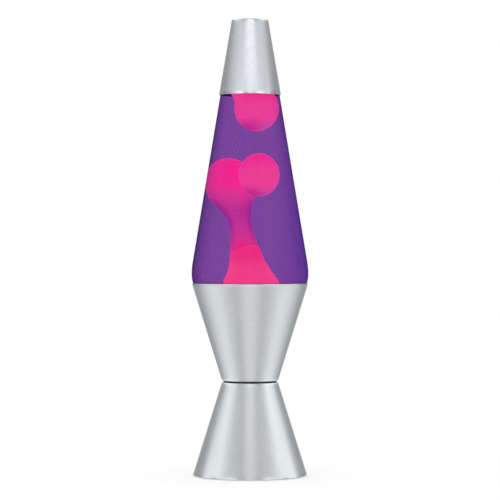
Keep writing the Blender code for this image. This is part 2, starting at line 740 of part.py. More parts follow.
# ---------------------------------------------------------------- cap


def make_cap(palette, cap):
    """The thin conical cap, closed at the top, that sits over the bottle's neck."""

    def radius(height):
        return CAP_BOTTOM_R - CAP_SLOPE * (height - CAP_BOTTOM_Z)

    skin = METAL_WALL * math.hypot(1, CAP_SLOPE)
    edge = 1.8
    section = [(0, CAP_TOP_Z), (radius(CAP_TOP_Z) - edge - 0.6, CAP_TOP_Z)]
    section += [(radius(CAP_TOP_Z) - 0.75, CAP_TOP_Z - 0.45), (radius(CAP_TOP_Z - edge), CAP_TOP_Z - edge)]
    section += [(CAP_BOTTOM_R, CAP_BOTTOM_Z + 0.2), (CAP_BOTTOM_R - 0.2, CAP_BOTTOM_Z)]
    section += [(CAP_BOTTOM_R - skin, CAP_BOTTOM_Z), (radius(CAP_TOP_Z - edge) - skin, CAP_TOP_Z - edge)]
    section += [(radius(CAP_TOP_Z) - edge - 1.0, CAP_TOP_Z - METAL_WALL), (0, CAP_TOP_Z - METAL_WALL)]
    add_object("top_cap", turned(section), palette["cap_metal"], cap)


# ---------------------------------------------------------------- assembly


def add_empty(name, parent=None, location=(0, 0, 0)):
    """An empty that carries one body of the lamp, on its joint's axis."""
    empty = bpy.data.objects.new(name, None)
    bpy.context.scene.collection.objects.link(empty)
    empty.parent = parent
    empty.location = Vector(location) * MM
    return empty


def main():
    """Clears the scene and builds the lamp from the floor up."""
    for obj in list(bpy.data.objects):
        bpy.data.objects.remove(obj)
    palette = make_palette()
    base = add_empty("base_frame")
    globe = add_empty("globe_frame", base)
    cap = add_empty("cap_frame", globe)
    bulb = add_empty("bulb_frame", base)
    front = add_empty("front_blob_frame", globe)
    top = add_empty("top_blob_frame", globe)
    make_cones(palette, base)
    make_holder(palette, base)
    make_clamps(palette, base)
    make_closing_plate(palette, base)
    make_inlet(palette, base)
    make_bulb(palette, bulb)
    make_bottle(palette, globe)
    make_contents(palette, globe, front, top)
    make_cap(palette, cap)


main()
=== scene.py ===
"""Liquid motion lamp: the visual model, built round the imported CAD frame.

Lengths are in millimetres and become metres as each mesh is made. +Z is up, the lamp stands on
Z = 0 with its axis on X = Y = 0, and its front faces -Y.
"""

import logging
import math
from dataclasses import dataclass
from enum import Enum
from typing import Callable, ClassVar, Optional, Sequence

import bpy
import numpy as np
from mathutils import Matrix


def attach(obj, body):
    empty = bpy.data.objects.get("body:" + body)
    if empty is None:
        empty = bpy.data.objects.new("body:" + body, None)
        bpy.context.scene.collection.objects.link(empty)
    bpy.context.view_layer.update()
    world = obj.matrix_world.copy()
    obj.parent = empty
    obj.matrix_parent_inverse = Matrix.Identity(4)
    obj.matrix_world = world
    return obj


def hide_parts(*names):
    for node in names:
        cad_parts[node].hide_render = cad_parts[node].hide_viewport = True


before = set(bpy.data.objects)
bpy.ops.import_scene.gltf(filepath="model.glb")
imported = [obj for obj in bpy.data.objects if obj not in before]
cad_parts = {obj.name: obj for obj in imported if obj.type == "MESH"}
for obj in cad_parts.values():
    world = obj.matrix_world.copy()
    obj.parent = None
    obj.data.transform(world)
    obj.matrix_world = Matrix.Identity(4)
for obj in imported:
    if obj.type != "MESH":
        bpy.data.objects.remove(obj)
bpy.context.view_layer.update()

LOG = logging.getLogger("lamp")
MM = 0.001
TAU = 2.0 * math.pi
FINE_SIDES = 144  # facets round the large turned pieces
BODY_SIDES = 72  # facets round the lampholder and the bulb
THREAD_SIDES = 64  # facets round a thread
SMALL_SIDES = 48  # facets round the small pieces
SHARP = 38.0  # edges that turn by more degrees than this stay crisp
WAX_SHARP = 60.0  # the same on wax
ON_AXIS = 1e-9  # points nearer the axis than this are on it, mm
METAL_STEP = 3.0  # longest facet along a cone's section, mm
GLASS_STEP = 6.0  # the same on the bottle and the liquid
GRAIN = (0.3, 0.7)  # where nearly all of a noise's values lie
Colour = tuple[float, float, float]
Painter = Callable[[np.ndarray, np.ndarray], np.ndarray]
Socket = bpy.types.NodeSocket
Material = bpy.types.Material


class Body(Enum):
    """The lamp's bodies, which move apart from one another."""

    BASE = "base"
    GLOBE = "globe"
    CAP = "cap"
    BULB = "bulb"
    FRONT_BLOB = "front_blob"
    TOP_BLOB = "top_blob"


class Slot(Enum):
    """The record's material slots."""

    CAP_METAL = "cap_metal"
    CONE_METAL = "cone_metal"
    BOTTLE_GLASS = "bottle_glass"
    LIQUID = "liquid"
    WAX = "wax"
    STEEL = "steel"
    BRASS = "brass"
    PHENOLIC = "phenolic"
    RUBBER = "rubber"
    BULB_GLASS = "bulb_glass"
    TUNGSTEN = "tungsten"


# ---------------------------------------------------------------- numbers


def linear(rgb: Sequence[float]) -> np.ndarray:
    """Turns display colour levels into the linear values that a shader takes.

    Args:
        rgb: red, green and blue, 0 to 255.

    Returns:
        Three linear values, 0 to 1.
    """
    c = np.asarray(rgb, float) / 255.0
    return np.where(c <= 0.04045, c / 12.92, ((c + 0.055) / 1.055) ** 2.4)


def ease(value: np.ndarray, low: float, high: float) -> np.ndarray:
    """Rises smoothly from 0 at low to 1 at high, as 3t^2 - 2t^3."""
    t = np.clip((value - low) / (high - low), 0.0, 1.0)
    return t * t * (3.0 - 2.0 * t)


def blend(a: np.ndarray, b: np.ndarray, share: np.ndarray) -> np.ndarray:
    """Mixes colour b into colour a, point by point."""
    return a + (b - a) * np.asarray(share)[..., None]


def rounded(corners: Sequence[Sequence[float]], radius: float = 0.3, steps: int = 5) -> np.ndarray:
    """Softens a section's corners.

    Each corner gives way to a quadratic curve that leaves one side and meets the next at the given
    distance from the corner, or at 45% of a side that is shorter. Corners on the axis stay sharp.

    Args:
        corners: (radius, height) points in order.
        radius: how far from a corner its curve begins. A third number on a corner overrides it.
        steps: points on each curve.

    Returns:
        The softened section as an array of (radius, height).
    """
    points = np.array([c[:2] for c in corners], float)
    reach = np.array([c[2] if len(c) > 2 else radius for c in corners], float)
    before = np.roll(points, 1, axis=0) - points
    after = np.roll(points, -1, axis=0) - points
    long_before = np.linalg.norm(before, axis=1)
    long_after = np.linalg.norm(after, axis=1)
    reach = np.minimum(reach, 0.45 * np.minimum(long_before, long_after))
    reach[points[:, 0] < ON_AXIS] = 0.0
    start = points + before * (reach / long_before)[:, None]
    end = points + after * (reach / long_after)[:, None]
    t = np.linspace(0.0, 1.0, steps)[None, :, None]
    curve = (1 - t) ** 2 * start[:, None] + 2 * t * (1 - t) * points[:, None] + t**2 * end[:, None]
    curve = curve.reshape(-1, 2)
    step = np.linalg.norm(curve - np.roll(curve, 1, axis=0), axis=1)
    return curve[step > 1e-6]


def spline(stations: np.ndarray, count: int) -> np.ndarray:
    """Draws a smooth curve through stations: a Catmull-Rom cubic between each pair.

    Args:
        stations: one row per station.
        count: points on the finished curve, spread evenly over the stations.

    Returns:
        The curve, one row per point.
    """
    padded = np.vstack([2 * stations[0] - stations[1], stations, 2 * stations[-1] - stations[-2]])
    place = np.linspace(0.0, len(stations) - 1.0, count)
    first = np.minimum(place.astype(int), len(stations) - 2)
    t = (place - first)[:, None]
    p0, p1, p2, p3 = (padded[first + k] for k in range(4))
    return 0.5 * (
        2 * p1 + (p2 - p0) * t + (2 * p0 - 5 * p1 + 4 * p2 - p3) * t**2 + (3 * p1 - p0 - 3 * p2 + p3) * t**3
    )


def resampled(section: np.ndarray, spacing: float) -> np.ndarray:
    """Adds points to a section so that no two neighbours are further apart than the spacing."""
    steps = np.linalg.norm(np.diff(section, axis=0), axis=1)
    pieces = [
        np.linspace(a, b, max(int(math.ceil(s / spacing)), 1), endpoint=False)
        for a, b, s in zip(section[:-1], section[1:], steps)
    ]
    return np.vstack(pieces + [section[-1:]])


def distinct(section: np.ndarray) -> np.ndarray:
    """Drops each point that repeats the one before it."""
    steps = np.linalg.norm(np.diff(section, axis=0), axis=1)
    return section[np.append(True, steps > 1e-4)]


# ---------------------------------------------------------------- surfaces


@dataclass(frozen=True)
class Skin:
    """A grid of points in millimetres and how its edges join up."""

    points: np.ndarray
    rows_close: bool = False
    first_pole: Optional[np.ndarray] = None
    last_pole: Optional[np.ndarray] = None

    def faces(self) -> tuple[np.ndarray, np.ndarray, np.ndarray]:
        """Numbers the grid's corners.

        Returns:
            All points, then the four-sided faces, then the three-sided faces at the poles.
        """
        rows, columns = self.points.shape[:2]
        row, column = np.meshgrid(
            np.arange(rows if self.rows_close else rows - 1), np.arange(columns), indexing="ij"
        )
        low, high = row * columns, (row + 1) % rows * columns
        beside = (column + 1) % columns
        quads = np.stack([low + column, low + beside, high + beside, high + column], axis=-1)
        points = [self.points.reshape(-1, 3)]
        fans = []
        k = np.arange(columns)
        total = rows * columns
        ends = ((self.first_pole, 0, False), (self.last_pole, (rows - 1) * columns, True))
        for pole, start, flip in ends:
            if pole is None:
                continue
            points.append(np.asarray(pole, float).reshape(1, 3))
            here, there = start + k, start + (k + 1) % columns
            pair = (here, there) if flip else (there, here)
            fans.append(np.stack([pair[0], pair[1], np.full(columns, total)], axis=-1))
            total += 1
        tris = np.vstack(fans) if fans else np.zeros((0, 3), int)
        return np.vstack(points), quads.reshape(-1, 4), tris

    def moved(self, offset: Sequence[float]) -> "Skin":
        """The same skin, shifted by an offset in millimetres."""
        return self.changed(lambda p: p + np.asarray(offset, float))

    def tilted(self, angle: float) -> "Skin":
        """The same skin, turned about the X axis by an angle in radians."""
        c, s = math.cos(angle), math.sin(angle)
        turn = np.array([[1, 0, 0], [0, c, -s], [0, s, c]])
        return self.changed(lambda p: p @ turn.T)

    def changed(self, change: Callable[[np.ndarray], np.ndarray]) -> "Skin":
        """The same skin with every point, poles included, put through a function."""
        first = None if self.first_pole is None else change(np.asarray(self.first_pole, float))
        last = None if self.last_pole is None else change(np.asarray(self.last_pole, float))
        return Skin(change(self.points), self.rows_close, first, last)


def turned(section: np.ndarray, sides: int = FINE_SIDES, swell: Optional[np.ndarray] = None) -> Skin:
    """Turns a section about Z: a point at radius r and height z becomes (r cos a, r sin a, z).

    A section with both ends on the axis is a solid, and any other is a closed ring.

    Args:
        section: (radius, height) points.
        sides: facets round the axis.
        swell: what is added to the radius at each point and angle, as for a thread or pleats.

    Returns:
        The turned skin.
    """
    angle = np.linspace(0.0, TAU, sides, endpoint=False)
    off_axis = section[:, 0] > ON_AXIS
    ring = section[off_axis]
    radius = np.repeat(ring[:, :1], sides, axis=1)
    if swell is not None:
        radius = radius + swell[off_axis]
    height = np.repeat(ring[:, 1:], sides, axis=1)
    points = np.stack([radius * np.cos(angle), radius * np.sin(angle), height], axis=-1)
    poles = [None if off_axis[end] else np.array([0.0, 0.0, section[end, 1]]) for end in (0, -1)]
    return Skin(points, bool(off_axis.all()), poles[0], poles[1])


def drill(radius: float, half: float, sides: int) -> Skin:
    """A plain drill along Z with its middle at the origin, given its radius and half length."""
    return turned(np.array([[0, -half], [radius, -half], [radius, half], [0, half]], float), sides)


def wire(
    path: np.ndarray, outward: np.ndarray, radius: float, sides: int, closed: bool = False
) -> Skin:
    """Carries a circle along a path: each point is the path's plus the radius times the circle's
    cosine along the outward vector and its sine along the vector square to that and the path.

    Args:
        path: points in millimetres.
        outward: a vector at each point, square to the path.
        radius: the wire's radius.
        sides: facets round the wire.
        closed: True if the path's end meets its start.

    Returns:
        The wire's skin.
    """
    ahead = np.roll(path, -1, axis=0) - np.roll(path, 1, axis=0)
    if not closed:
        ahead[0], ahead[-1] = path[1] - path[0], path[-1] - path[-2]
    ahead /= np.linalg.norm(ahead, axis=1, keepdims=True)
    outward = outward - ahead * np.sum(outward * ahead, axis=1, keepdims=True)
    outward /= np.linalg.norm(outward, axis=1, keepdims=True)
    across = np.cross(ahead, outward)
    angle = np.linspace(0.0, TAU, sides, endpoint=False)[None, :, None]
    points = path[:, None] + radius * (np.cos(angle) * outward[:, None] + np.sin(angle) * across[:, None])
    if closed:
        return Skin(points, True)
    return Skin(points, False, path[0], path[-1])


@dataclass(frozen=True)
class ScrewShell:
    """A thin brass shell rolled into a rounded thread. Lengths in millimetres."""

    radius: float  # outside, at the middle of the thread
    wall: float
    depth: float  # crest to root
    low: float
    high: float
    turns: int
    rows: int  # rows of points in a turn

    def skin(self) -> Skin:
        """A tube whose radius gains half the depth times the cosine of the height's turns less the
        angle."""
        count = self.rows * self.turns + 1
        height = np.linspace(self.low, self.high, count)
        outside = np.stack([np.full(count, self.radius), height], axis=-1)
        inside = np.stack([np.full(count, self.radius - self.wall), height[::-1]], axis=-1)
        section = np.vstack([outside, inside])
        angle = np.linspace(0.0, TAU, THREAD_SIDES, endpoint=False)
        pitch = (self.high - self.low) / self.turns
        wave = 0.5 * self.depth * np.cos(TAU * section[:, 1:] / pitch - angle[None, :])
        return turned(section, THREAD_SIDES, wave)


def signed_volume(points: np.ndarray, quads: np.ndarray, tris: np.ndarray) -> float:
    """Volume within the faces, below zero if they point inwards."""
    every = np.vstack([quads[:, [0, 1, 2]], quads[:, [0, 2, 3]], tris])
    a, b, c = (points[every[:, k]] for k in range(3))
    return float(np.einsum("ij,ij->i", a, np.cross(b, c)).sum() / 6.0)


def mesh_from(name: str, skins: Sequence[Skin]) -> bpy.types.Mesh:
    """Makes one mesh of closed skins, each with its faces outwards.

    Args:
        name: the mesh's name.
        skins: closed skins in millimetres.

    Returns:
        The mesh, in metres.
    """
    all_points, all_faces, start = [], [], 0
    for skin in skins:
        points, quads, tris = skin.faces()
        middle = points.mean(axis=0)
        if signed_volume(points - middle, quads, tris) < 0:
            quads, tris = quads[:, ::-1], tris[:, ::-1]
        all_points.append(points * MM)
        all_faces += (quads + start).tolist() + (tris + start).tolist()
        start += len(points)
    mesh = bpy.data.meshes.new(name)
    mesh.from_pydata(np.vstack(all_points).tolist(), [], all_faces)
    mesh.update()
    return mesh


def link(name: str, mesh: bpy.types.Mesh) -> bpy.types.Object:
    """Puts a mesh into the scene as an object at the origin."""
    obj = bpy.data.objects.new(name, mesh)
    bpy.context.scene.collection.objects.link(obj)
    return obj


def bored(obj: bpy.types.Object, tools: Sequence[Skin]) -> None:
    """Takes tools, such as drills, away from an object and keeps the result as its mesh."""
    cutter = link(obj.name + "_tool", mesh_from(obj.name + "_tool", tools))
    modifier = obj.modifiers.new("bore", "BOOLEAN")
    modifier.operation = "DIFFERENCE"
    modifier.solver = "EXACT"
    modifier.object = cutter
    view = bpy.context.evaluated_depsgraph_get()
    view.update()
    result = bpy.data.meshes.new_from_object(obj.evaluated_get(view))
    obj.modifiers.clear()
    obj.data = result
    bpy.data.objects.remove(cutter)


def painted(obj: bpy.types.Object, name: str, painter: Painter) -> None:
    """Stores a value or colour at each point of a mesh for its material to read.

    Args:
        obj: the piece.
        name: the attribute's name.
        painter: takes all points in millimetres and their normals, and returns values or colours.
    """
    mesh = obj.data
    points = np.empty(len(mesh.vertices) * 3)
    normals = np.empty(len(mesh.vertices) * 3)
    mesh.vertices.foreach_get("co", points)
    mesh.vertices.foreach_get("normal", normals)
    values = painter(points.reshape(-1, 3) / MM, normals.reshape(-1, 3))
    if values.ndim == 1:
        mesh.attributes.new(name, "FLOAT", "POINT").data.foreach_set("value", values.astype(np.float32))
        return
    rgba = np.hstack([values, np.ones((len(values), 1))]).astype(np.float32)
    mesh.attributes.new(name, "FLOAT_COLOR", "POINT").data.foreach_set("color", rgba.ravel())


@dataclass(frozen=True)
class Place:
    """Where a piece belongs: its body, its record slot and the CAD nodes that it stands for."""

    body: Body
    slot: Slot
    stands_for: tuple[str, ...]


def piece(
    name: str,
    skins: Sequence[Skin],
    place: Place,
    material: Material,
    sharp: float = SHARP,
    drills: Sequence[Skin] = (),
    paint: Optional[tuple[str, Painter]] = None,
) -> None:
    """Makes a piece of closed skins, shades and dresses it, and puts it on its body.

    Args:
        name: the piece's name.
        skins: closed skins in millimetres.
        place: its body, slot and CAD nodes.
        material: its finish.
        sharp: edges that turn by more than this many degrees stay crisp.
        drills: skins whose insides are taken away.
        paint: the name of what is stored at its points, and what works it out.
    """
    obj = link(name, mesh_from(name, skins))
    if drills:
        bored(obj, drills)
    if paint is not None:
        painted(obj, *paint)
    obj.data.shade_smooth()
    obj.data.set_sharp_from_angle(angle=math.radians(sharp))
    obj.data.materials.clear()
    obj.data.materials.append(material)
    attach(obj, place.body.value)
    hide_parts(*place.stands_for)
    LOG.info("%s: %d faces on %s", obj.name, len(obj.data.polygons), place.body.value)


def dress_nodes(material: Material, *names: str) -> None:
    """Gives CAD nodes that stay in view their finish."""
    for name in names:
        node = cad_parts[name]
        for slot in node.material_slots:
            slot.material = material
        LOG.info("%s: CAD node dressed in %s", name, material.name)


# ---------------------------------------------------------------- finishes


class Net:
    """Adds nodes to one shader tree and joins them up."""

    def __init__(self, tree: bpy.types.NodeTree) -> None:
        """Takes the tree to work on."""
        self.tree = tree
        self._where: Optional[Socket] = None

    def add(self, kind: str, **settings: object) -> bpy.types.Node:
        """Adds a shader node of a kind and sets its properties."""
        node = self.tree.nodes.new("ShaderNode" + kind)
        for key, value in settings.items():
            setattr(node, key, value)
        return node

    def feed(self, socket: Socket, value: object) -> None:
        """Links a socket to another, or sets it to a number or colour."""
        if isinstance(value, Socket):
            self.tree.links.new(value, socket)
        elif isinstance(value, (int, float)):
            socket.default_value = value
        else:
            values = [float(v) for v in value]
            socket.default_value = values + [1.0] if len(values) < len(socket.default_value) else values

    def where(self) -> Socket:
        """The piece's own coordinates, in metres."""
        if self._where is None:
            self._where = self.add("TexCoord").outputs["Object"]
        return self._where

    def noise(
        self, size: float, detail: float = 3.0, stretch: Optional[Sequence[float]] = None
    ) -> Socket:
        """Soft random grain.

        Args:
            size: width of one grain in millimetres.
            detail: octaves of finer grain.
            stretch: how much finer the grain is along each axis.

        Returns:
            The grain's value, about 0.5 on average.
        """
        place = self.where()
        if stretch is not None:
            turn = self.add("Mapping")
            self.feed(turn.inputs["Vector"], place)
            self.feed(turn.inputs["Scale"], stretch)
            place = turn.outputs["Vector"]
        node = self.add("TexNoise")
        self.feed(node.inputs["Vector"], place)
        self.feed(node.inputs["Scale"], 1.0 / (size * MM))
        self.feed(node.inputs["Detail"], detail)
        return node.outputs[0]

    def span(
        self, value: Socket, low: float, high: float, to_low: float = 0.0, to_high: float = 1.0
    ) -> Socket:
        """Carries a value from one range into another, held at the ends."""
        node = self.add("MapRange")
        ends = {"From Min": low, "From Max": high, "To Min": to_low, "To Max": to_high}
        for name, end in ends.items():
            self.feed(node.inputs[name], end)
        self.feed(node.inputs["Value"], value)
        return node.outputs["Result"]

    def spread(self, noise: Socket, to_low: float = 0.0, to_high: float = 1.0) -> Socket:
        """Carries a noise's usual range into another."""
        return self.span(noise, *GRAIN, to_low, to_high)

    def sum(self, operation: str, a: object, b: object = 0.0, c: object = 0.0) -> Socket:
        """One step of arithmetic."""
        node = self.add("Math", operation=operation)
        for socket, value in zip(node.inputs, (a, b, c)):
            self.feed(socket, value)
        return node.outputs[0]

    def mix(self, share: Socket, a: object, b: object) -> Socket:
        """Mixes colour b into colour a."""
        node = self.add("Mix", data_type="RGBA")
        self.feed(node.inputs[0], share)
        self.feed(node.inputs[6], a)
        self.feed(node.inputs[7], b)
        return node.outputs[2]

    def mix_shaders(self, share: Socket, a: Socket, b: Socket) -> Socket:
        """Mixes shader b into shader a."""
        node = self.add("MixShader")
        for socket, value in zip(node.inputs, (share, a, b)):
            self.feed(socket, value)
        return node.outputs[0]

    def ramp(self, share: Socket, stops: Sequence[tuple[float, Sequence[float]]]) -> Socket:
        """Reads a colour off a row of stops."""
        node = self.add("ValToRGB")
        row = node.color_ramp.elements
        while len(row) < len(stops):
            row.new(0.5)
        for stop, (place, colour) in zip(row, stops):
            stop.position = place
            stop.color = (*[float(c) for c in colour], 1.0)
        self.feed(node.inputs[0], share)
        return node.outputs[0]

    def attribute(self, name: str, output: str = "Fac") -> Socket:
        """Reads what a mesh stores at its points."""
        return self.add("Attribute", attribute_name=name).outputs[output]

    def bump(
        self, height: Socket, depth: float, strength: float, under: Optional[Socket] = None
    ) -> Socket:
        """Raises a surface by a height.

        Args:
            height: the value to raise by.
            depth: how high a value of 1 stands, in millimetres.
            strength: share of the effect, 0 to 1.
            under: a normal to start from.

        Returns:
            The new normal.
        """
        node = self.add("Bump")
        self.feed(node.inputs["Height"], height)
        self.feed(node.inputs["Distance"], depth * MM)
        self.feed(node.inputs["Strength"], strength)
        if under is not None:
            self.feed(node.inputs["Normal"], under)
        return node.outputs["Normal"]


class MaterialNet(Net):
    """The tree of a new material."""

    def __init__(self, name: str) -> None:
        """Starts a material with a Principled shader."""
        self.material = bpy.data.materials.new(name)
        self.material.use_nodes = True
        super().__init__(self.material.node_tree)
        self.shader = self.tree.nodes["Principled BSDF"]
        self.output = self.tree.nodes["Material Output"]

    def set(self, **values: object) -> None:
        """Feeds the Principled shader's sockets. Underscores stand for the spaces in their names."""
        for key, value in values.items():
            self.feed(self.shader.inputs[key.replace("_", " ")], value)

    def show(self, shader: Socket) -> Material:
        """Puts another shader in the Principled one's place."""
        self.tree.nodes.remove(self.shader)
        self.feed(self.output.inputs["Surface"], shader)
        return self.material


@dataclass(frozen=True)
class SpunAluminium:
    """Spun aluminium sheet, blasted to a fine sparkling satin and lacquered."""

    name: str
    tint: Colour
    roughness: float
    speck: float  # width of one speck, mm
    contrast: float  # how far specks stray from the tint
    grain_depth: float  # mm
    cloud: float = 14.0  # width of one faint cloud, mm
    ring: float = 1.6  # width of one spinning ring, mm
    worn: float = 1.16  # how much brighter a worn edge is than the tint

    def material(self) -> Material:
        """Specks of lighter and darker metal, faint spinning rings, and brighter worn edges."""
        net = MaterialNet(self.name)
        tint = linear(self.tint)
        speck = net.noise(self.speck, 2.0)
        cloud = net.noise(self.cloud, 2.0)
        rings = net.noise(self.ring, 3.0, (0.02, 0.02, 1.0))
        dark, light = tint * (1 - self.contrast), np.minimum(tint * (1 + self.contrast), 1.0)
        colour = net.mix(net.spread(speck), dark, light)
        colour = net.mix(net.spread(cloud, 0.0, 0.12), colour, tint * 0.94)
        patches = net.span(net.noise(1.1, 3.0), 0.35, 0.6, 0.35, 1.0)
        scuffs = net.sum("MULTIPLY", net.attribute("Wear"), patches)
        colour = net.mix(scuffs, colour, np.minimum(tint * self.worn, 1.0))
        rough = net.span(speck, 0.25, 0.75, self.roughness - 0.05, self.roughness + 0.05)
        rough = net.sum("ADD", rough, net.spread(cloud, -0.015, 0.015))
        rough = net.sum("SUBTRACT", rough, net.sum("MULTIPLY", scuffs, 0.14))
        normal = net.bump(rings, self.grain_depth * 0.6, 0.25)
        normal = net.bump(speck, self.grain_depth, 0.55, normal)
        net.set(Base_Color=colour, Metallic=1.0, Roughness=rough, Normal=normal)
        return net.material


@dataclass(frozen=True)
class PlatedMetal:
    """Small turned or pressed hardware in bare or plated metal."""

    name: str
    tint: Colour
    stain: Colour
    roughness: float
    stain_share: float

    def material(self) -> Material:
        """Tool lines, clouds of tarnish and uneven gloss."""
        net = MaterialNet(self.name)
        tint, stain = linear(self.tint), linear(self.stain)
        cloud = net.noise(4.0, 4.0)
        lines = net.noise(0.35, 2.0, (0.25, 0.25, 1.0))
        colour = net.mix(net.span(cloud, 0.42, 0.7, 0.0, self.stain_share), tint, stain)
        colour = net.mix(net.span(lines, 0.35, 0.65, 0.0, 0.18), colour, tint * 0.72)
        rough = net.spread(cloud, self.roughness - 0.06, self.roughness + 0.1)
        net.set(Base_Color=colour, Metallic=1.0, Roughness=rough, Normal=net.bump(lines, 0.02, 0.4))
        return net.material


@dataclass(frozen=True)
class Moulding:
    """A moulded plastic, phenolic or rubber surface."""

    name: str
    tint: Colour
    fleck: Colour
    fleck_share: float
    roughness: float
    texture: float  # width of the mould's texture, mm
    depth: float  # mm

    def material(self) -> Material:
        """Filler flecks, mould texture and rubbed patches."""
        net = MaterialNet(self.name)
        tint, fleck = linear(self.tint), linear(self.fleck)
        texture = net.noise(self.texture, 2.0)
        flecks = net.noise(0.5, 3.0)
        rubbed = net.noise(7.0, 3.0)
        colour = net.mix(net.span(flecks, 0.58, 0.68, 0.0, self.fleck_share), tint, fleck)
        colour = net.mix(net.span(rubbed, 0.45, 0.7, 0.0, 0.3), colour, tint * 1.35 + 0.002)
        rough = net.spread(rubbed, self.roughness - 0.07, self.roughness + 0.07)
        normal = net.bump(texture, self.depth, 0.6)
        net.set(Base_Color=colour, Roughness=rough, Normal=normal)
        return net.material


@dataclass(frozen=True)
class BottleGlass:
    """Clear bottle glass: what is behind shows straight through, under a thin gloss."""

    name: str = "bottle_glass_clear"
    tint: Colour = (250, 251, 253)
    face_gloss: float = 0.004
    edge_gloss: float = 0.04
    gloss_power: float = 4.0  # how late the gloss rises towards the edges

    def material(self) -> Material:
        """A see-through shader with a mirror that strengthens towards the edges of the form."""
        net = MaterialNet(self.name)
        slow = net.noise(26.0, 2.0)
        clear = net.add("BsdfTransparent")
        net.feed(clear.inputs["Color"], linear(self.tint))
        gloss = net.add("BsdfAnisotropic")
        net.feed(gloss.inputs["Color"], (1.0, 1.0, 1.0))
        net.feed(gloss.inputs["Roughness"], net.spread(slow, 0.03, 0.07))
        net.feed(gloss.inputs["Normal"], net.bump(slow, 0.2, 0.15))
        facing = net.add("LayerWeight").outputs["Facing"]
        rise = net.sum("POWER", facing, self.gloss_power)
        share = net.span(rise, 0.0, 1.0, self.face_gloss, self.edge_gloss)
        share = net.sum("MULTIPLY", share, net.attribute("Outer"))
        return net.show(net.mix_shaders(share, clear.outputs[0], gloss.outputs[0]))


@dataclass(frozen=True)
class DyedLiquid:
    """The dyed liquid. Light is tinted as it enters and again as it leaves."""

    name: str = "dyed_liquid"
    through: Colour = (131, 73, 160)  # white seen through the whole bottle
    edge: Colour = (82, 42, 114)  # painted shade: the same towards the left edge of the form
    right_edge_shade: Colour = (92, 46, 148)  # painted shade: the same towards the right edge
    rim: Colour = (46, 20, 74)  # painted shade: the same at the very edge
    right: Colour = (114, 62, 154)  # painted shade: the same towards +X
    loss: float = 0.915  # what a crossing leaves, beside the dye
    ior: float = 1.004  # so near to air's that nothing behind looks bent
    right_shade_from: float = 0.016  # X where the painted shade towards +X begins, m
    right_shade_to: float = 0.046  # X where it is full

    def one_crossing(self) -> np.ndarray:
        """What is left of white light after one surface."""
        return np.sqrt(linear(self.through)) * self.loss

    def material(self) -> Material:
        """A thin-looking transmitting shader, with painted shade darkening it towards the edges of the form
        and a little towards +X.
        """
        net = MaterialNet(self.name)
        split = net.add("SeparateXYZ")
        net.feed(split.inputs[0], net.where())
        # Painted shade: a little darker towards +X.
        side = net.span(split.outputs["X"], self.right_shade_from, self.right_shade_to)
        cloud = net.noise(30.0, 1.0)
        tint = net.mix(side, linear(self.through), linear(self.right))
        tint = net.mix(net.spread(cloud, 0.0, 0.05), tint, linear(self.through) * 1.1)
        # Painted shade: darker towards the edges of the form, darkest at the very edge.
        facing = net.add("LayerWeight").outputs["Facing"]
        edge = net.mix(side, linear(self.edge), linear(self.right_edge_shade))
        tint = net.mix(net.span(facing, 0.32, 0.85), tint, edge)
        tint = net.mix(net.span(facing, 0.7, 0.95), tint, linear(self.rim))
        net.set(Base_Color=tint, Roughness=0.0, IOR=self.ior)
        net.set(Transmission_Weight=1.0, Specular_IOR_Level=0.0)
        return net.material


@dataclass(frozen=True)
class LampWax:
    """Soft coloured wax, its light and shade painted into its emission as a glow."""

    name: str = "lamp_wax"
    strength: float = 2.0
    fleck: Colour = (0.55, 0.02, 0.16)
    body_dark: Colour = (0.16, 0.01, 0.05)
    body_light: Colour = (0.2, 0.012, 0.06)

    def material(self) -> Material:
        """The painted glow, gently mottled, over a satin wax body."""
        net = MaterialNet(self.name)
        # The painted light and shade at each point, stored on the wax pieces.
        glow = net.attribute("PaintedGlow", "Color")
        mottle = net.noise(5.0, 3.0)
        glow = net.mix(net.spread(mottle, 0.0, 0.05), glow, self.fleck)
        body = net.mix(net.spread(mottle), self.body_dark, self.body_light)
        net.set(Base_Color=body, Roughness=net.spread(mottle, 0.32, 0.42))
        net.set(Emission_Color=glow, Emission_Strength=self.strength)
        net.set(Normal=net.bump(mottle, 0.15, 0.2))
        return net.material


@dataclass(frozen=True)
class FrostedGlass:
    """Etched bulb glass, lit from inside."""

    name: str
    glow: Colour
    strength: float

    def material(self) -> Material:
        """Etch grain over a faintly clouded warm glow."""
        net = MaterialNet(self.name)
        etch = net.noise(0.4, 2.0)
        cloud = net.noise(9.0, 2.0)
        glow = linear(self.glow)
        glow = net.mix(net.spread(cloud, 0.0, 0.25), glow, glow * 0.8)
        body = net.mix(net.spread(etch), (0.76, 0.75, 0.72), (0.86, 0.85, 0.82))
        net.set(Base_Color=body, Roughness=net.spread(etch, 0.3, 0.45))
        net.set(Emission_Color=glow, Emission_Strength=self.strength)
        net.set(Normal=net.bump(etch, 0.02, 0.4))
        return net.material


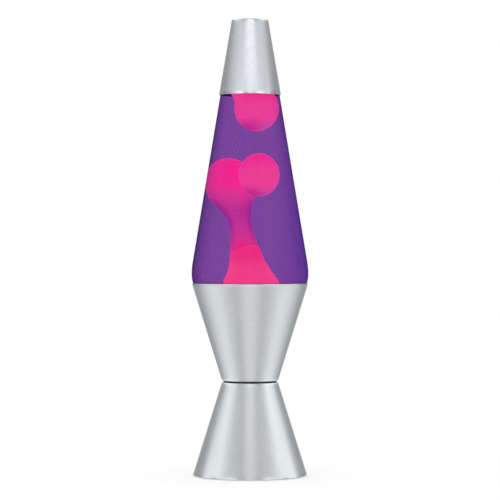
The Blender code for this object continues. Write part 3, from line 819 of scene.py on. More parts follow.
@dataclass
class Finishes:
    """Every finish of the lamp, made once."""

    liquid_dye: DyedLiquid

    def __post_init__(self) -> None:
        """Makes the materials."""
        self.cap = SpunAluminium("cap_aluminium", (230, 233, 238), 0.27, 0.6, 0.02, 0.0015).material()
        self.cone = SpunAluminium("cone_aluminium", (229, 234, 236), 0.35, 0.75, 0.07, 0.012).material()
        self.steel = PlatedMetal("zinc_plated_steel", (196, 199, 204), (168, 166, 150), 0.3, 0.5).material()
        self.crown = PlatedMetal("tinplate", (206, 208, 211), (176, 172, 160), 0.24, 0.35).material()
        self.brass = PlatedMetal("pressed_brass", (214, 176, 104), (150, 112, 62), 0.26, 0.5).material()
        phenolic = Moulding("phenolic_moulding", (44, 38, 35), (92, 72, 58), 0.5, 0.4, 0.5, 0.02)
        plastic = Moulding("black_plate_plastic", (30, 30, 32), (58, 58, 60), 0.25, 0.5, 0.6, 0.03)
        rubber = Moulding("black_rubber", (34, 34, 36), (70, 68, 66), 0.3, 0.78, 0.35, 0.03)
        liner = Moulding("crown_liner_plastic", (222, 222, 214), (190, 190, 180), 0.3, 0.55, 0.8, 0.02)
        self.phenolic, self.plastic = phenolic.material(), plastic.material()
        self.rubber, self.liner = rubber.material(), liner.material()
        self.glass = BottleGlass().material()
        self.liquid = self.liquid_dye.material()
        self.wax = LampWax().material()
        self.bulb = FrostedGlass("frosted_bulb_glass", (255, 226, 176), 0.9).material()
        self.stem = FrostedGlass("bulb_stem_glass", (255, 214, 150), 0.6).material()
        self.filament = FrostedGlass("glowing_tungsten", (255, 196, 110), 6.0).material()


def rim_wear(levels: Sequence[tuple[float, float]]) -> Painter:
    """Wear that is strongest at given edges and gone a few tenths of a millimetre away.

    Args:
        levels: each worn edge's height and how far its wear reaches, in millimetres.

    Returns:
        A painter of the share of wear at each point.
    """

    def paint(points: np.ndarray, normals: np.ndarray) -> np.ndarray:
        """One minus the distance from the nearest edge over its reach, never below zero."""
        share = [np.clip(1.0 - np.abs(points[:, 2] - z) / reach, 0.0, 1.0) for z, reach in levels]
        return np.max(share, axis=0)

    return paint


# ---------------------------------------------------------------- base


@dataclass
class Base:
    """The two spun cones, mouth to mouth at the waist, with the gasket between them."""

    finishes: Finishes
    wall: float = 0.7
    slope: float = 0.313  # lower cone: radius lost per unit of height
    rim_r: float = 46.05
    rim_z: float = 0.8
    waist_z: float = 75.6
    bore_r: float = 14.0
    upper_slope: float = 0.3096
    upper_rim_r: float = 47.0
    upper_rim_z: float = 155.3
    upper_foot_z: float = 76.8
    clamp_x: float = 18.0
    clamp_hole_r: float = 1.8
    inlet_z: float = 14.0
    inlet_hole_r: float = 5.3
    gasket_gap: float = 0.3  # between the gasket and each cone
    foot_circle_r: float = 37.5

    def lower_r(self, z: float) -> float:
        """Outer radius of the lower cone at a height."""
        return self.rim_r - self.slope * (z - self.rim_z)

    def upper_r(self, z: float) -> float:
        """Outer radius of the upper cone at a height."""
        return self.upper_rim_r - self.upper_slope * (self.upper_rim_z - z)

    def clamp_drills(self, z: float) -> list[Skin]:
        """Drills along Z for the two clamp screws' holes at a height."""
        bit = drill(self.clamp_hole_r, 3.0, SMALL_SIDES // 2)
        return [bit.moved((x, 0, z)) for x in (-self.clamp_x, self.clamp_x)]

    def cone(
        self, side: str, corners: Sequence[Sequence[float]], drills: Sequence[Skin], worn: Painter
    ) -> None:
        """Turns one cone's closed section into a drilled shell.

        Args:
            side: lower or upper.
            corners: the section's corners, as rounded() takes them.
            drills: skins whose insides are taken away.
            worn: the painter of its worn edges.
        """
        section = rounded(corners)
        section = resampled(np.vstack([section, section[:1]]), METAL_STEP)[:-1]
        place = Place(Body.BASE, Slot.CONE_METAL, (side + "_cone",))
        finish, paint = self.finishes.cone, ("Wear", worn)
        piece(side + "_cone_shell", [turned(section)], place, finish, drills=drills, paint=paint)

    def inlet(self, skin: Skin) -> Skin:
        """Carries a skin from the origin to the cord inlet, square to the cone's wall."""
        place = (0.0, self.lower_r(self.inlet_z) - self.wall / 2, self.inlet_z)
        return skin.tilted(-math.pi / 2 + math.atan(self.slope)).moved(place)

    def build_lower(self) -> None:
        """The lower cone: a rolled foot, a straight wall, a crisp shoulder and a flange turned in."""
        skin = self.wall * math.hypot(1, self.slope)
        under = self.waist_z - self.wall
        corners = [
            (self.rim_r - 0.02, self.rim_z, 0.3),
            (self.lower_r(self.waist_z), self.waist_z, 0.75),
            (self.bore_r, self.waist_z, 0.15),
            (self.bore_r, under, 0.15),
            (self.lower_r(under) - skin, under, 0.5),
            (self.rim_r - skin, self.rim_z, 0.2),
        ]
        drills = self.clamp_drills(self.waist_z)
        drills.append(self.inlet(drill(self.inlet_hole_r, 4.0, SMALL_SIDES)))
        worn = rim_wear([(self.rim_z, 0.7), (self.waist_z, 0.9)])
        self.cone("lower", corners, drills, worn)

    def build_upper(self) -> None:
        """The upper cone: a flange at the waist, a foot rounded in, a straight wall and a rolled rim."""
        skin = self.wall * math.hypot(1, self.upper_slope)
        foot, above = self.upper_foot_z, self.upper_foot_z + self.wall
        corners = [
            (self.upper_rim_r, self.upper_rim_z, 0.3),
            (self.upper_r(foot + 2.0), foot + 2.0, 1.6),
            (self.upper_r(foot) - 0.35, foot, 0.6),
            (self.bore_r, foot, 0.15),
            (self.bore_r, above, 0.15),
            (self.upper_r(foot) - 1.6, above, 0.5),
            (self.upper_r(foot + 2.6) - skin, foot + 2.6, 1.0),
            (self.upper_rim_r - skin, self.upper_rim_z, 0.25),
        ]
        worn = rim_wear([(self.upper_rim_z, 0.6)])
        self.cone("upper", corners, self.clamp_drills(foot), worn)

    def build_gasket(self) -> None:
        """The thin rubber ring that shows as a dark line at the waist."""
        low, high = self.waist_z + self.gasket_gap, self.upper_foot_z - self.gasket_gap
        section = rounded([(21.6, low), (21.6, high), (14.3, high), (14.3, low)], 0.15)
        place = Place(Body.BASE, Slot.RUBBER, ("waist_gasket",))
        finish, drills = self.finishes.rubber, self.clamp_drills(low)
        piece("waist_gasket_ring", [turned(section)], place, finish, drills=drills)

    def build_grommet(self) -> None:
        """The rubber grommet that lines the cord's way in at the back."""
        half, bore = self.wall / 2 + 0.3, 4.2
        section = rounded(
            [(bore, 2.2, 0.5), (7.4, 2.2, 1.2), (7.4, half, 0.2), (5.0, half, 0.1),
             (5.0, -half - 0.5, 0.1), (6.4, -half - 0.5, 0.2), (6.4, -half - 1.7, 0.4),
             (bore, -half - 1.7, 0.4)]
        )
        place = Place(Body.BASE, Slot.RUBBER, ("cord_grommet",))
        piece("inlet_grommet", [self.inlet(turned(section, SMALL_SIDES))], place, self.finishes.rubber)

    def build_feet(self) -> None:
        """Four domed rubber feet with stems pressed through the plate."""
        section = rounded(
            [(0, 0.0), (4.6, 0.0, 0.9), (5.0, 1.5, 0.3), (1.9, 1.5, 0.1), (1.9, 4.2, 0.1),
             (2.1, 4.25, 0.1), (1.2, 5.4, 0.2), (0, 5.4)]
        )
        foot = turned(section, SMALL_SIDES)
        for number, degrees in enumerate((45, 135, 225, 315), 1):
            angle = math.radians(degrees)
            spot = (self.foot_circle_r * math.cos(angle), self.foot_circle_r * math.sin(angle), 0)
            place = Place(Body.BASE, Slot.RUBBER, (f"rubber_foot_{number}",))
            piece(f"domed_foot_{number}", [foot.moved(spot)], place, self.finishes.rubber)

    def build(self) -> None:
        """Builds the base's pieces and dresses the CAD nodes that stay in view."""
        self.build_lower()
        self.build_upper()
        self.build_gasket()
        self.build_grommet()
        self.build_feet()
        steel = self.finishes.steel
        dress_nodes(self.finishes.plastic, "base_plate")
        for number in (1, 2, 3):
            dress_nodes(steel, f"plate_lug_{number}", f"plate_screw_{number}")
        for number in (1, 2):
            dress_nodes(steel, f"clamp_screw_{number}", f"clamp_nut_{number}")


@dataclass
class Lampholder:
    """The lampholder on its bracket at the waist."""

    finishes: Finishes
    thread: ScrewShell = ScrewShell(9.45, 0.35, 0.5, 62.5, 77.5, turns=4, rows=20)
    well_r: float = 1.8  # the two terminal screws' wells in its sides
    well_z: float = 55.4

    def build_body(self) -> None:
        """The moulded body: a cup with a rolled lip, a skirt step and a floor round the nipple."""
        section = rounded(
            [(4.5, 50.3, 0.2), (12.1, 50.3, 0.8), (12.5, 60.0, 0.3), (12.0, 61.0, 0.3),
             (12.0, 74.0, 0.3), (12.5, 75.0, 0.3), (12.5, 80.5, 0.6), (10.4, 80.5, 0.5),
             (10.4, 58.0, 0.5), (2.2, 58.0, 0.2), (2.2, 54.6, 0.1), (4.5, 54.6, 0.1)]
        )
        bit = drill(self.well_r, 3.2, SMALL_SIDES // 2).tilted(math.pi / 2)
        wells = [bit.moved((0, side * 11.0, self.well_z)) for side in (-1, 1)]
        place = Place(Body.BASE, Slot.PHENOLIC, ("holder_body",))
        skin, finish = turned(section, BODY_SIDES), self.finishes.phenolic
        piece("holder_body_moulding", [skin], place, finish, drills=wells)

    def build_thread(self) -> None:
        """The brass screw shell that takes the bulb."""
        place = Place(Body.BASE, Slot.BRASS, ("holder_screw_shell",))
        piece("holder_thread", [self.thread.skin()], place, self.finishes.brass)

    def build(self) -> None:
        """Builds the holder and dresses the CAD nodes that stay in view."""
        self.build_body()
        self.build_thread()
        brass, steel = self.finishes.brass, self.finishes.steel
        dress_nodes(brass, "holder_centre_contact", "terminal_screw_1", "terminal_screw_2")
        dress_nodes(steel, "holder_bracket", "holder_nipple", "nipple_lock_washer", "nipple_nut")


@dataclass
class Bulb:
    """The screw-in bulb that lights and warms the globe."""

    finishes: Finishes
    top_z: float = 118.7
    widest_r: float = 17.5
    widest_z: float = 98.2
    neck_r: float = 7.2
    neck_z: float = 80.6
    wall: float = 0.7
    shell: ScrewShell = ScrewShell(8.125, 0.3, 0.45, 65.0, 79.6, turns=5, rows=18)
    arch_r: float = 6.6  # half the filament's span
    arch_rise: float = 4.2
    arch_z: float = 98.0
    coil_r: float = 0.28
    coil_turns: int = 26
    wire_r: float = 0.09

    def envelope(self, offset: float) -> np.ndarray:
        """The envelope's section: the neck swells to the widest ring by 3t^2 - 2t^3, and the dome
        above is a quarter ellipse.

        Args:
            offset: how far inside the outer surface.

        Returns:
            Points from the neck's open end up to the axis.
        """
        t = np.linspace(0.0, 1.0, 24)
        swell = (self.widest_r - self.neck_r) * t * t * (3 - 2 * t)
        height = self.neck_z + (self.widest_z - self.neck_z) * t
        rise = np.stack([self.neck_r + swell, height], axis=-1)
        angle = np.linspace(0.0, math.pi / 2, 24)[1:]
        across = (self.widest_r - offset) * np.cos(angle)
        up = self.widest_z + (self.top_z - self.widest_z - offset) * np.sin(angle)
        dome = np.stack([across, up], axis=-1)
        dome[-1, 0] = 0.0
        rise[:, 0] -= offset
        return np.vstack([[self.neck_r - offset, 70.0], rise, dome])

    def build_envelope(self) -> None:
        """The frosted envelope, open at the neck."""
        section = np.vstack([self.envelope(0.0)[::-1], self.envelope(self.wall)])
        place = Place(Body.BULB, Slot.BULB_GLASS, ("bulb_envelope",))
        piece("bulb_glass_envelope", [turned(section, BODY_SIDES)], place, self.finishes.bulb)

    def build_shell(self) -> None:
        """The brass screw shell."""
        place = Place(Body.BULB, Slot.BRASS, ("bulb_screw_shell",))
        piece("bulb_thread", [self.shell.skin()], place, self.finishes.brass)

    def build_filament(self) -> None:
        """The filament: a fine coil carried along an arch between the two lead wires."""
        t = np.linspace(0.0, 1.0, 10 * self.coil_turns)
        angle = math.pi * (0.12 + 0.76 * t)
        out = np.stack([np.cos(angle), 0 * t, np.sin(angle)], axis=-1)
        arch = out * (self.arch_r, 0.0, self.arch_rise) + (0.0, 0.0, self.arch_z)
        phase = (TAU * self.coil_turns * t)[:, None]
        spoke = np.cos(phase) * out + np.sin(phase) * np.array([0.0, 1.0, 0.0])
        coil = wire(arch + self.coil_r * spoke, spoke, self.wire_r, 5)
        place = Place(Body.BULB, Slot.TUNGSTEN, ("bulb_filament",))
        piece("bulb_filament_coil", [coil], place, self.finishes.filament)

    def build(self) -> None:
        """Builds the bulb and dresses the CAD nodes that stay in view."""
        self.build_envelope()
        self.build_shell()
        self.build_filament()
        dress_nodes(self.finishes.stem, "bulb_stem")
        dress_nodes(self.finishes.steel, "bulb_lead_wire_1", "bulb_lead_wire_2")
        dress_nodes(self.finishes.phenolic, "bulb_insulator")
        dress_nodes(self.finishes.brass, "bulb_tip_contact")


# ---------------------------------------------------------------- globe


@dataclass
class Bottle:
    """The glass bottle with its crown closure."""

    finishes: Finishes
    wall: float = 1.5
    belly_r: float = 47.2
    belly_z: float = 162.8
    low_arc: float = 24.0
    low_angle: float = math.radians(22.0)
    high_arc: float = 60.0
    high_angle: float = math.radians(9.43)
    taper_end_z: float = 300.0  # where the shoulder's own points begin
    shoulder_z: float = 312.0
    fill_z: float = 312.5
    mouth_z: float = 346.6
    pleats: int = 21
    pleat_depth: float = 0.42

    def belly(self, offset: float) -> np.ndarray:
        """The belly's section: a tight arc below the widest ring and a wide one above it.

        Args:
            offset: how far inside the outer surface.

        Returns:
            (radius, height) points, low to high.
        """
        low = np.linspace(self.low_angle, 0.0, 10)[:-1]
        high = np.linspace(0.0, self.high_angle, 10)
        tight, wide = self.low_arc - offset, self.high_arc - offset
        below = [self.belly_r - self.low_arc + tight * np.cos(low), self.belly_z - tight * np.sin(low)]
        above = [self.belly_r - self.high_arc + wide * np.cos(high), self.belly_z + wide * np.sin(high)]
        return np.vstack([np.transpose(below), np.transpose(above)])

    def taper_r(self, z: float, offset: float = 0.0) -> float:
        """Radius of the straight taper above the belly."""
        top_r, top_z = self.belly(offset)[-1]
        return float(top_r - math.tan(self.high_angle) * (z - top_z))

    def side_r(self, z: np.ndarray, offset: float) -> np.ndarray:
        """Radius of the bottle's side at any height between its foot and its shoulder."""
        arc = self.belly(offset)
        heights = np.append(arc[:, 1], self.shoulder_z)
        radii = np.append(arc[:, 0], self.taper_r(self.shoulder_z, offset))
        return np.interp(z, heights, radii)

    def build_glass(self) -> None:
        """The bottle: a pushed-up base, a heel, a belly, a long taper, a shoulder and a beaded neck."""
        heel = rounded(
            [(0, 129.4), (14.0, 129.0, 3), (24.0, 126.6, 1.2), (26.5, 126.0, 0.8), (31.5, 126.0, 1.2),
             (34.4, 127.0, 1.4), (35.9, 130.2, 1.0), tuple(self.belly(0.0)[0])],
            1.0,
        )
        heel = heel[heel[:, 1] <= self.belly(0.0)[0, 1] + 1e-6]
        end, shoulder, mouth = self.taper_end_z, self.shoulder_z, self.mouth_z
        top = rounded(
            [(self.taper_r(end), end, 0), (self.taper_r(shoulder), shoulder, 2), (22.5, 316.0, 1.6),
             (20.6, 320.2, 1.8), (16.6, 324.4, 2), (13.0, 330.0, 2), (13.0, 340.8, 0.4),
             (13.4, 341.6, 0.3), (13.4, 345.6, 0.6), (12.4, mouth, 0.5), (10.1, mouth, 0.4),
             (9.5, 345.8, 0.5), (9.5, 329.0, 2), (13.6, 323.2, 2), (18.4, 318.8, 1.6),
             (20.8, 315.2, 1.4), (self.taper_r(shoulder, self.wall), shoulder, 1),
             (self.taper_r(end, self.wall), end, 0)],
            1.0,
        )
        inner_low = self.belly(self.wall)[::-1]
        floor = rounded(
            [tuple(inner_low[-1]), (35.2, 134.4, 1.6), (33.2, 131.8, 1.2), (30.0, 130.5, 2),
             (24.0, 130.3, 3), (14.0, 132.4, 3), (0, 132.7)],
            1.0,
        )
        section = np.vstack([heel[:-1], self.belly(0.0), top, inner_low, floor[1:]])
        skin = turned(resampled(distinct(section), GLASS_STEP))
        place = Place(Body.GLOBE, Slot.BOTTLE_GLASS, ("bottle",))
        paint = ("Outer", self.outer_share)
        piece("glass_bottle", [skin], place, self.finishes.glass, paint=paint)

    def outer_share(self, points: np.ndarray, normals: np.ndarray) -> np.ndarray:
        """1 where the glass meets the air and 0 where it meets the liquid, which hides its gloss."""
        outwards = normals[:, 0] * points[:, 0] + normals[:, 1] * points[:, 1]
        facing_out = (outwards > 0) | (normals[:, 2] < -0.5)
        return np.where(facing_out | (points[:, 2] > self.shoulder_z + 1), 1.0, 0.0)

    def build_crown(self) -> None:
        """The crown closure: a pressed disc whose skirt ripples in pleats that deepen downwards, as
        the cosine of the angle times their number."""
        section = rounded(
            [(0, 348.2), (12.6, 348.2, 1.0), (14.5, 347.2, 0.8), (15.0, 345.4, 0.6),
             (15.75, 342.3, 0.2), (15.35, 342.15, 0.2), (14.5, 345.2, 0.6), (14.0, 346.9, 0.6),
             (12.4, 347.7, 0.6), (0, 347.7)]
        )
        section = resampled(section, 0.8)
        sides = 12 * self.pleats
        angle = np.linspace(0.0, TAU, sides, endpoint=False)
        depth = self.pleat_depth * ease(-section[:, 1], -346.6, -342.6)
        pleats = depth[:, None] * np.cos(self.pleats * angle)[None, :]
        place = Place(Body.GLOBE, Slot.STEEL, ("crown_closure",))
        piece("crown_cap_pleated", [turned(section, sides, pleats)], place, self.finishes.crown)

    def build(self) -> None:
        """Builds the bottle and its closure."""
        self.build_glass()
        self.build_crown()
        dress_nodes(self.finishes.liner, "crown_liner")


@dataclass
class Contents:
    """The liquid, the wax and the wire coil inside the bottle."""

    finishes: Finishes
    bottle: Bottle
    skin_gap: float = 0.04  # the liquid shows this far inside the bottle's outline
    wax_gap: float = 0.15  # the wax stays this far inside it
    pool_z: float = 155.7
    pool_floor_z: float = 133.2
    front_middle: tuple[float, float, float] = (7.3, -15.5, 242.5)
    front_half: tuple[float, float, float] = (16.3, 13.5, 17.4)
    top_middle: tuple[float, float, float] = (5.3, -1.0, 296.7)
    top_half: tuple[float, float, float] = (17.9, 17.0, 18.6)
    lobe_way: tuple[float, float, float] = (-0.74, -0.3, 0.56)  # from the top blob's middle
    lobe_swell: float = 0.5
    lobe_width: float = 0.028
    oval_sides: int = 112  # facets round the column and the blobs
    coil_r: float = 25.0
    coil_z: float = 132.4
    coil_turns: int = 64
    coil_half: float = 1.5  # radius of one turn
    coil_wire_r: float = 0.3

    # Standing wax, low to high: height, left edge, right edge, middle in depth, half depth, turn
    column: ClassVar[np.ndarray] = np.array(
        [
            (154.6, -21.4, 23.2, 0.0, 20.6, 0.0),
            (156.4, -21.3, 23.0, 0.0, 20.4, 0.0),
            (158.4, -21.0, 22.4, 0.3, 20.0, 0.0),
            (161.2, -19.7, 20.4, 0.6, 18.6, 0.0),
            (166.1, -17.8, 16.8, 1.0, 15.5, 0.0),
            (175.8, -16.3, 11.1, 1.4, 12.4, 0.0),
            (187.2, -16.0, 6.2, 2.4, 10.2, 0.0),
            (196.9, -16.0, 3.0, 3.4, 9.2, 0.0),
            (201.7, -16.6, 2.2, 4.0, 9.0, 0.0),
            (206.6, -18.6, 1.4, 4.6, 9.1, 0.0),
            (211.4, -21.6, 1.2, 5.2, 9.5, 3.0),
            (216.3, -26.5, 1.8, 6.2, 10.3, 7.0),
            (222.8, -32.2, 3.3, 7.3, 11.8, 12.0),
            (231.5, -35.8, 3.8, 7.8, 12.8, 14.0),
            (240.6, -35.8, 2.6, 7.8, 13.4, 14.0),
            (247.8, -33.6, 0.2, 7.9, 12.4, 14.0),
            (253.4, -28.6, -5.4, 8.2, 9.0, 12.0),
            (256.2, -22.8, -11.6, 8.3, 4.6, 12.0),
        ]
    )
    # Where its painted light is strongest, beside the loose blob: X, height, half width, half height
    painted_light_spot: ClassVar[Sequence[float]] = (-12.0, 245.0, 9.0, 14.0)
    # Its painted light and shade, from the head down: colours, and the heights between which each takes
    # over
    descent: ClassVar[Sequence[tuple[Colour, float, float]]] = (
        ((209, 54, 146), 236.0, 224.0),
        ((184, 46, 146), 226.0, 213.0),
        ((192, 51, 147), 212.0, 202.0),
        ((208, 52, 143), 202.0, 192.0),
        ((221, 44, 134), 194.0, 187.0),
    )
    # The mound in front of its foot: height, left edge, right edge, middle in depth, half depth
    mound: ClassVar[np.ndarray] = np.array(
        [
            (154.6, -21.3, 23.1, -5.0, 18.6),
            (156.4, -21.2, 22.9, -5.0, 18.4),
            (158.4, -20.9, 22.3, -4.8, 18.0),
            (161.2, -19.6, 20.3, -4.5, 16.6),
            (166.1, -17.7, 16.7, -4.0, 13.6),
            (175.8, -16.2, 11.0, -3.2, 11.2),
            (182.6, -15.8, 8.5, -2.8, 9.8),
            (185.2, -15.0, 7.0, -2.4, 8.0),
            (186.3, -10.5, 5.0, -2.0, 4.8),
        ]
    )
    room_light: ClassVar[np.ndarray] = np.array([0.045, 0.006, 0.045])  # what the wax shows unlit
    mound_crest_x: float = 3.5
    mound_bow: float = 0.0155  # how fast the mound's top edge falls away from its crest, per mm
    column_top: ClassVar[Sequence[float]] = (-17.0, 8.3, 256.9)

    def held_in(self, points: np.ndarray) -> np.ndarray:
        """Presses wax that would pass the glass back against it: its distance from the axis is held
        to the bottle's at its height."""
        radius = np.hypot(points[..., 0], points[..., 1])
        limit = self.bottle.side_r(points[..., 2], self.wax_gap)
        share = np.minimum(1.0, limit / np.maximum(radius, 1e-6))
        return points * np.stack([share, share, np.ones_like(share)], axis=-1)

    def wax(
        self,
        name: str,
        skin: Skin,
        painter: Painter,
        node: str = "wax_column",
        body: Body = Body.GLOBE,
        sharp: float = WAX_SHARP,
    ) -> None:
        """Makes a piece of wax with its painted glow.

        Args:
            name: the piece's name.
            skin: its closed skin.
            painter: works out its painted light and shade.
            node: the CAD node that it stands for.
            body: the body that it rides on.
            sharp: edges that turn by more than this many degrees stay crisp.
        """
        place = Place(body, Slot.WAX, (node,))
        piece(name, [skin], place, self.finishes.wax, sharp, paint=("PaintedGlow", painter))

    def glow(self, rgb: Sequence[float]) -> np.ndarray:
        """The painted glow, standing in for the light and shade on the wax, that shows as a given colour
        through the dyed liquid.
        """
        dye = self.finishes.liquid_dye.one_crossing()
        own = np.maximum(linear(rgb) - self.room_light, 0.0)
        return np.minimum(own / dye / LampWax().strength, 1.0)

    def build_liquid(self) -> None:
        """The liquid: the bottle's inside from its floor up to a meniscus."""
        gap = self.skin_gap
        side = self.bottle.belly(gap)
        top_r = self.bottle.taper_r(self.bottle.shoulder_z, gap)
        floor = rounded(
            [(0, 133.0), (14.0, 132.7, 3), (24.0, 130.6, 3), (30.0, 130.8, 2), (33.0, 132.0, 1),
             (35.0, 134.6, 1), tuple(side[0])],
            1.0,
        )
        meniscus = np.array(
            [(top_r - 0.05, self.bottle.fill_z + 0.5), (top_r - 0.8, self.bottle.fill_z + 0.12),
             (top_r - 2.6, self.bottle.fill_z), (0, self.bottle.fill_z)]
        )
        top = np.array([(top_r, self.bottle.shoulder_z)])
        section = np.vstack([floor[:-1], side, top, meniscus])
        section = distinct(resampled(section, GLASS_STEP))
        place = Place(Body.GLOBE, Slot.LIQUID, ("liquid",))
        piece("dyed_liquid", [turned(section)], place, self.finishes.liquid)

    def build_standing(self) -> None:
        """The standing wax: ovals along a smooth curve through its stations, each turned about Z so
        that its edges stay in place, from a wide foot up a slim neck to a round head by the glass."""
        rows = spline(self.column, 150)
        angle = np.linspace(0.0, TAU, self.oval_sides, endpoint=False)[None, :]
        height, left, right, depth_middle, depth, turn = (rows[:, k : k + 1] for k in range(6))
        half, middle = (right - left) / 2, (right + left) / 2
        turn = np.radians(turn)
        long_half = np.sqrt(np.maximum(half**2 - (depth * np.sin(turn)) ** 2, 0.5)) / np.cos(turn)
        u, v = long_half * np.cos(angle), depth * np.sin(angle)
        x = middle + u * np.cos(turn) - v * np.sin(turn)
        y = depth_middle + u * np.sin(turn) + v * np.cos(turn)
        points = self.held_in(np.stack([x, y, height + 0 * angle], axis=-1))
        foot = np.array([0.0, 0.0, points[0, 0, 2]])
        skin = Skin(points, False, foot, np.array(self.column_top))
        self.wax("standing_wax", skin, self.standing_painted_light)

    def standing_painted_light(self, points: np.ndarray, normals: np.ndarray) -> np.ndarray:
        """Painted light and shade: bright pink in the head, strongest beside the loose blob, plum down the
        neck, painted shade along its sides, and painted light brightening it again towards the pool."""
        x, z = points[:, 0], points[:, 2]
        pink, lit_pink = self.glow((235, 46, 147)), self.glow((238, 36, 143))
        side = self.glow((146, 40, 141))
        spot_x, spot_z, wide, high = self.painted_light_spot
        # Painted light: strongest beside the loose blob.
        near = np.exp(-(((x - spot_x) / wide) ** 2) - ((z - spot_z) / high) ** 2)
        colour = blend(pink, lit_pink, near)
        colour = blend(colour, self.glow((222, 57, 146)), ease(-x, 24.0, 36.0) * ease(z, 205, 225))
        # Painted light and shade by height: plum down the neck and brighter towards the pool below it.
        for rgb, start, end in self.descent:
            colour = blend(colour, self.glow(rgb), ease(-z, -start, -end))
        # Painted shade towards the column's left and right sides.
        left, right = (np.interp(z, self.column[:, 0], self.column[:, k]) for k in (1, 2))
        off_middle = np.abs(2 * x - left - right) / (right - left)
        shade = ease(off_middle, 0.35, 0.95) * ease(-z, -232.0, -214.0) * ease(z, 176.0, 206.0)
        return blend(colour, side, shade)

    def build_mound(self) -> None:
        """The mound in front of the neck: ovals through its stations, whose heights fall away with the
        square of the distance from the crest towards the top."""
        rows = spline(self.mound, 90)
        angle = np.linspace(0.0, TAU, 2 * SMALL_SIDES, endpoint=False)[None, :]
        height, left, right, depth_middle, depth = (rows[:, k : k + 1] for k in range(5))
        x = (right + left) / 2 + (right - left) / 2 * np.cos(angle)
        y = depth_middle + depth * np.sin(angle)
        z = height - self.mound_bow * (x - self.mound_crest_x) ** 2 * ease(height, 165.0, 184.0)
        points = self.held_in(np.stack([x, y, z], axis=-1))
        foot = np.array([0.0, 0.0, points[0, 0, 2]])
        top = points[-1].mean(axis=0) + (0.0, 0.0, 0.4)
        self.wax("wax_mound", Skin(points, False, foot, top), self.mound_painted_light)

    def mound_painted_light(self, points: np.ndarray, normals: np.ndarray) -> np.ndarray:
        """Painted light: the brightest wax, over the bulb, a little redder under its top edge."""
        z = points[:, 2]
        bright, red = self.glow((240, 62, 135)), self.glow((234, 46, 128))
        colour = blend(bright, red, ease(z, 166.0, 181.0))
        return blend(colour, self.glow((236, 66, 140)), ease(-z, -162.0, -156.0) * 0.6)

    def build_pool(self) -> None:
        """The pool of wax on the bottle's floor. Its side follows the bottle's, and below the belly a
        plain taper into the heel."""
        surface, bottom = self.pool_z, self.pool_floor_z
        height = np.linspace(bottom + 2.0, surface - 0.4, 24)
        side = np.stack([self.bottle.side_r(height, self.wax_gap), height], axis=-1)
        low = height < self.bottle.belly(0.0)[0, 1]
        taper = (33.5, 36.4, side[~low][0, 0])
        side[low, 0] = np.interp(height[low], (bottom, 136.0, 153.8), taper)
        floor = np.array([(0, bottom), (31.0, bottom)])
        edge = side[-1, 0]
        top = np.array([(edge - 0.1, surface), (edge - 1.4, surface - 0.2), (0, surface - 0.5)])
        skin = turned(np.vstack([floor, side, top]))
        self.wax("wax_pool", skin, self.pool_painted_light, sharp=SHARP)

    def pool_painted_light(self, points: np.ndarray, normals: np.ndarray) -> np.ndarray:
        """Painted shade in deep magenta at the pool's edge, and painted light round the mound's foot."""
        radius = np.hypot(points[:, 0], points[:, 1])
        deep, bright = self.glow((84, 30, 88)), self.glow((236, 62, 138))
        return blend(bright, deep, ease(radius, 21.0, 32.0))

    def blob(
        self, node: str, middle: Sequence[float], half: Sequence[float], body: Body, lobe: bool
    ) -> None:
        """A loose blob: a slightly uneven ball of wax, with a small lobe at its upper left if asked.

        Each point is the middle plus the half axes times the unit direction, swelled by a low wave
        round the axis and, towards the lobe, by an exponential bump.

        Args:
            node: the CAD node that it stands for.
            middle: the blob's middle.
            half: its half axes.
            body: the body that it rides on.
            lobe: True for the small lobe.
        """
        polar = np.linspace(0.0, math.pi, 73)[1:-1, None]
        angle = np.linspace(0.0, TAU, self.oval_sides, endpoint=False)[None, :]
        across, up = np.sin(polar), -np.cos(polar) + 0 * angle
        way = np.stack([across * np.cos(angle), across * np.sin(angle), up], axis=-1)
        swell = 1.0 + 0.012 * np.sin(2 * angle + 0.7) * np.sin(polar) ** 2
        if lobe:
            close = way @ (np.array(self.lobe_way) / np.linalg.norm(self.lobe_way))
            swell = swell + self.lobe_swell * np.exp(-((1 - close) / self.lobe_width))
        middle, half = np.asarray(middle), np.asarray(half)
        points = middle + half * way * swell[..., None]
        bottom, top = middle - (0, 0, half[2]), middle + (0, 0, half[2])
        if lobe:
            points[..., 2] = np.minimum(points[..., 2], self.bottle.fill_z + 0.2)
            top[2] = min(top[2], self.bottle.fill_z + 0.2)
        skin = Skin(self.held_in(points), False, bottom, top)
        self.wax("loose_" + node, skin, self.blob_painted_light, node, body)

    def blob_painted_light(self, points: np.ndarray, normals: np.ndarray) -> np.ndarray:
        """Painted light and shade: pink, brighter at the top, with painted shade in lilac under the right
        side and deep magenta under the left.
        """
        nx, nz = normals[:, 0], normals[:, 2]
        pink, lit_pink = self.glow((235, 63, 150)), self.glow((236, 46, 142))
        lilac, deep = self.glow((198, 66, 152)), self.glow((180, 40, 140))
        # Painted shade towards the left and right edges.
        left = 0.5 * ease(-nx, 0.72, 1.0) * ease(-nz, -0.5, 0.0)
        right = 0.4 * ease(nx, 0.74, 1.0) * ease(-nz, -0.8, -0.2)
        colour = blend(pink, lit_pink, ease(nz, 0.0, 0.8))
        colour = blend(colour, self.glow((206, 50, 144)), left)
        colour = blend(colour, self.glow((196, 70, 154)), right)
        # Painted shade on the underside, by the normal's downward share.
        under = blend(deep, lilac, ease(nx, -0.35, 0.45))
        return blend(colour, under, ease(-nz, 0.3, 0.9))

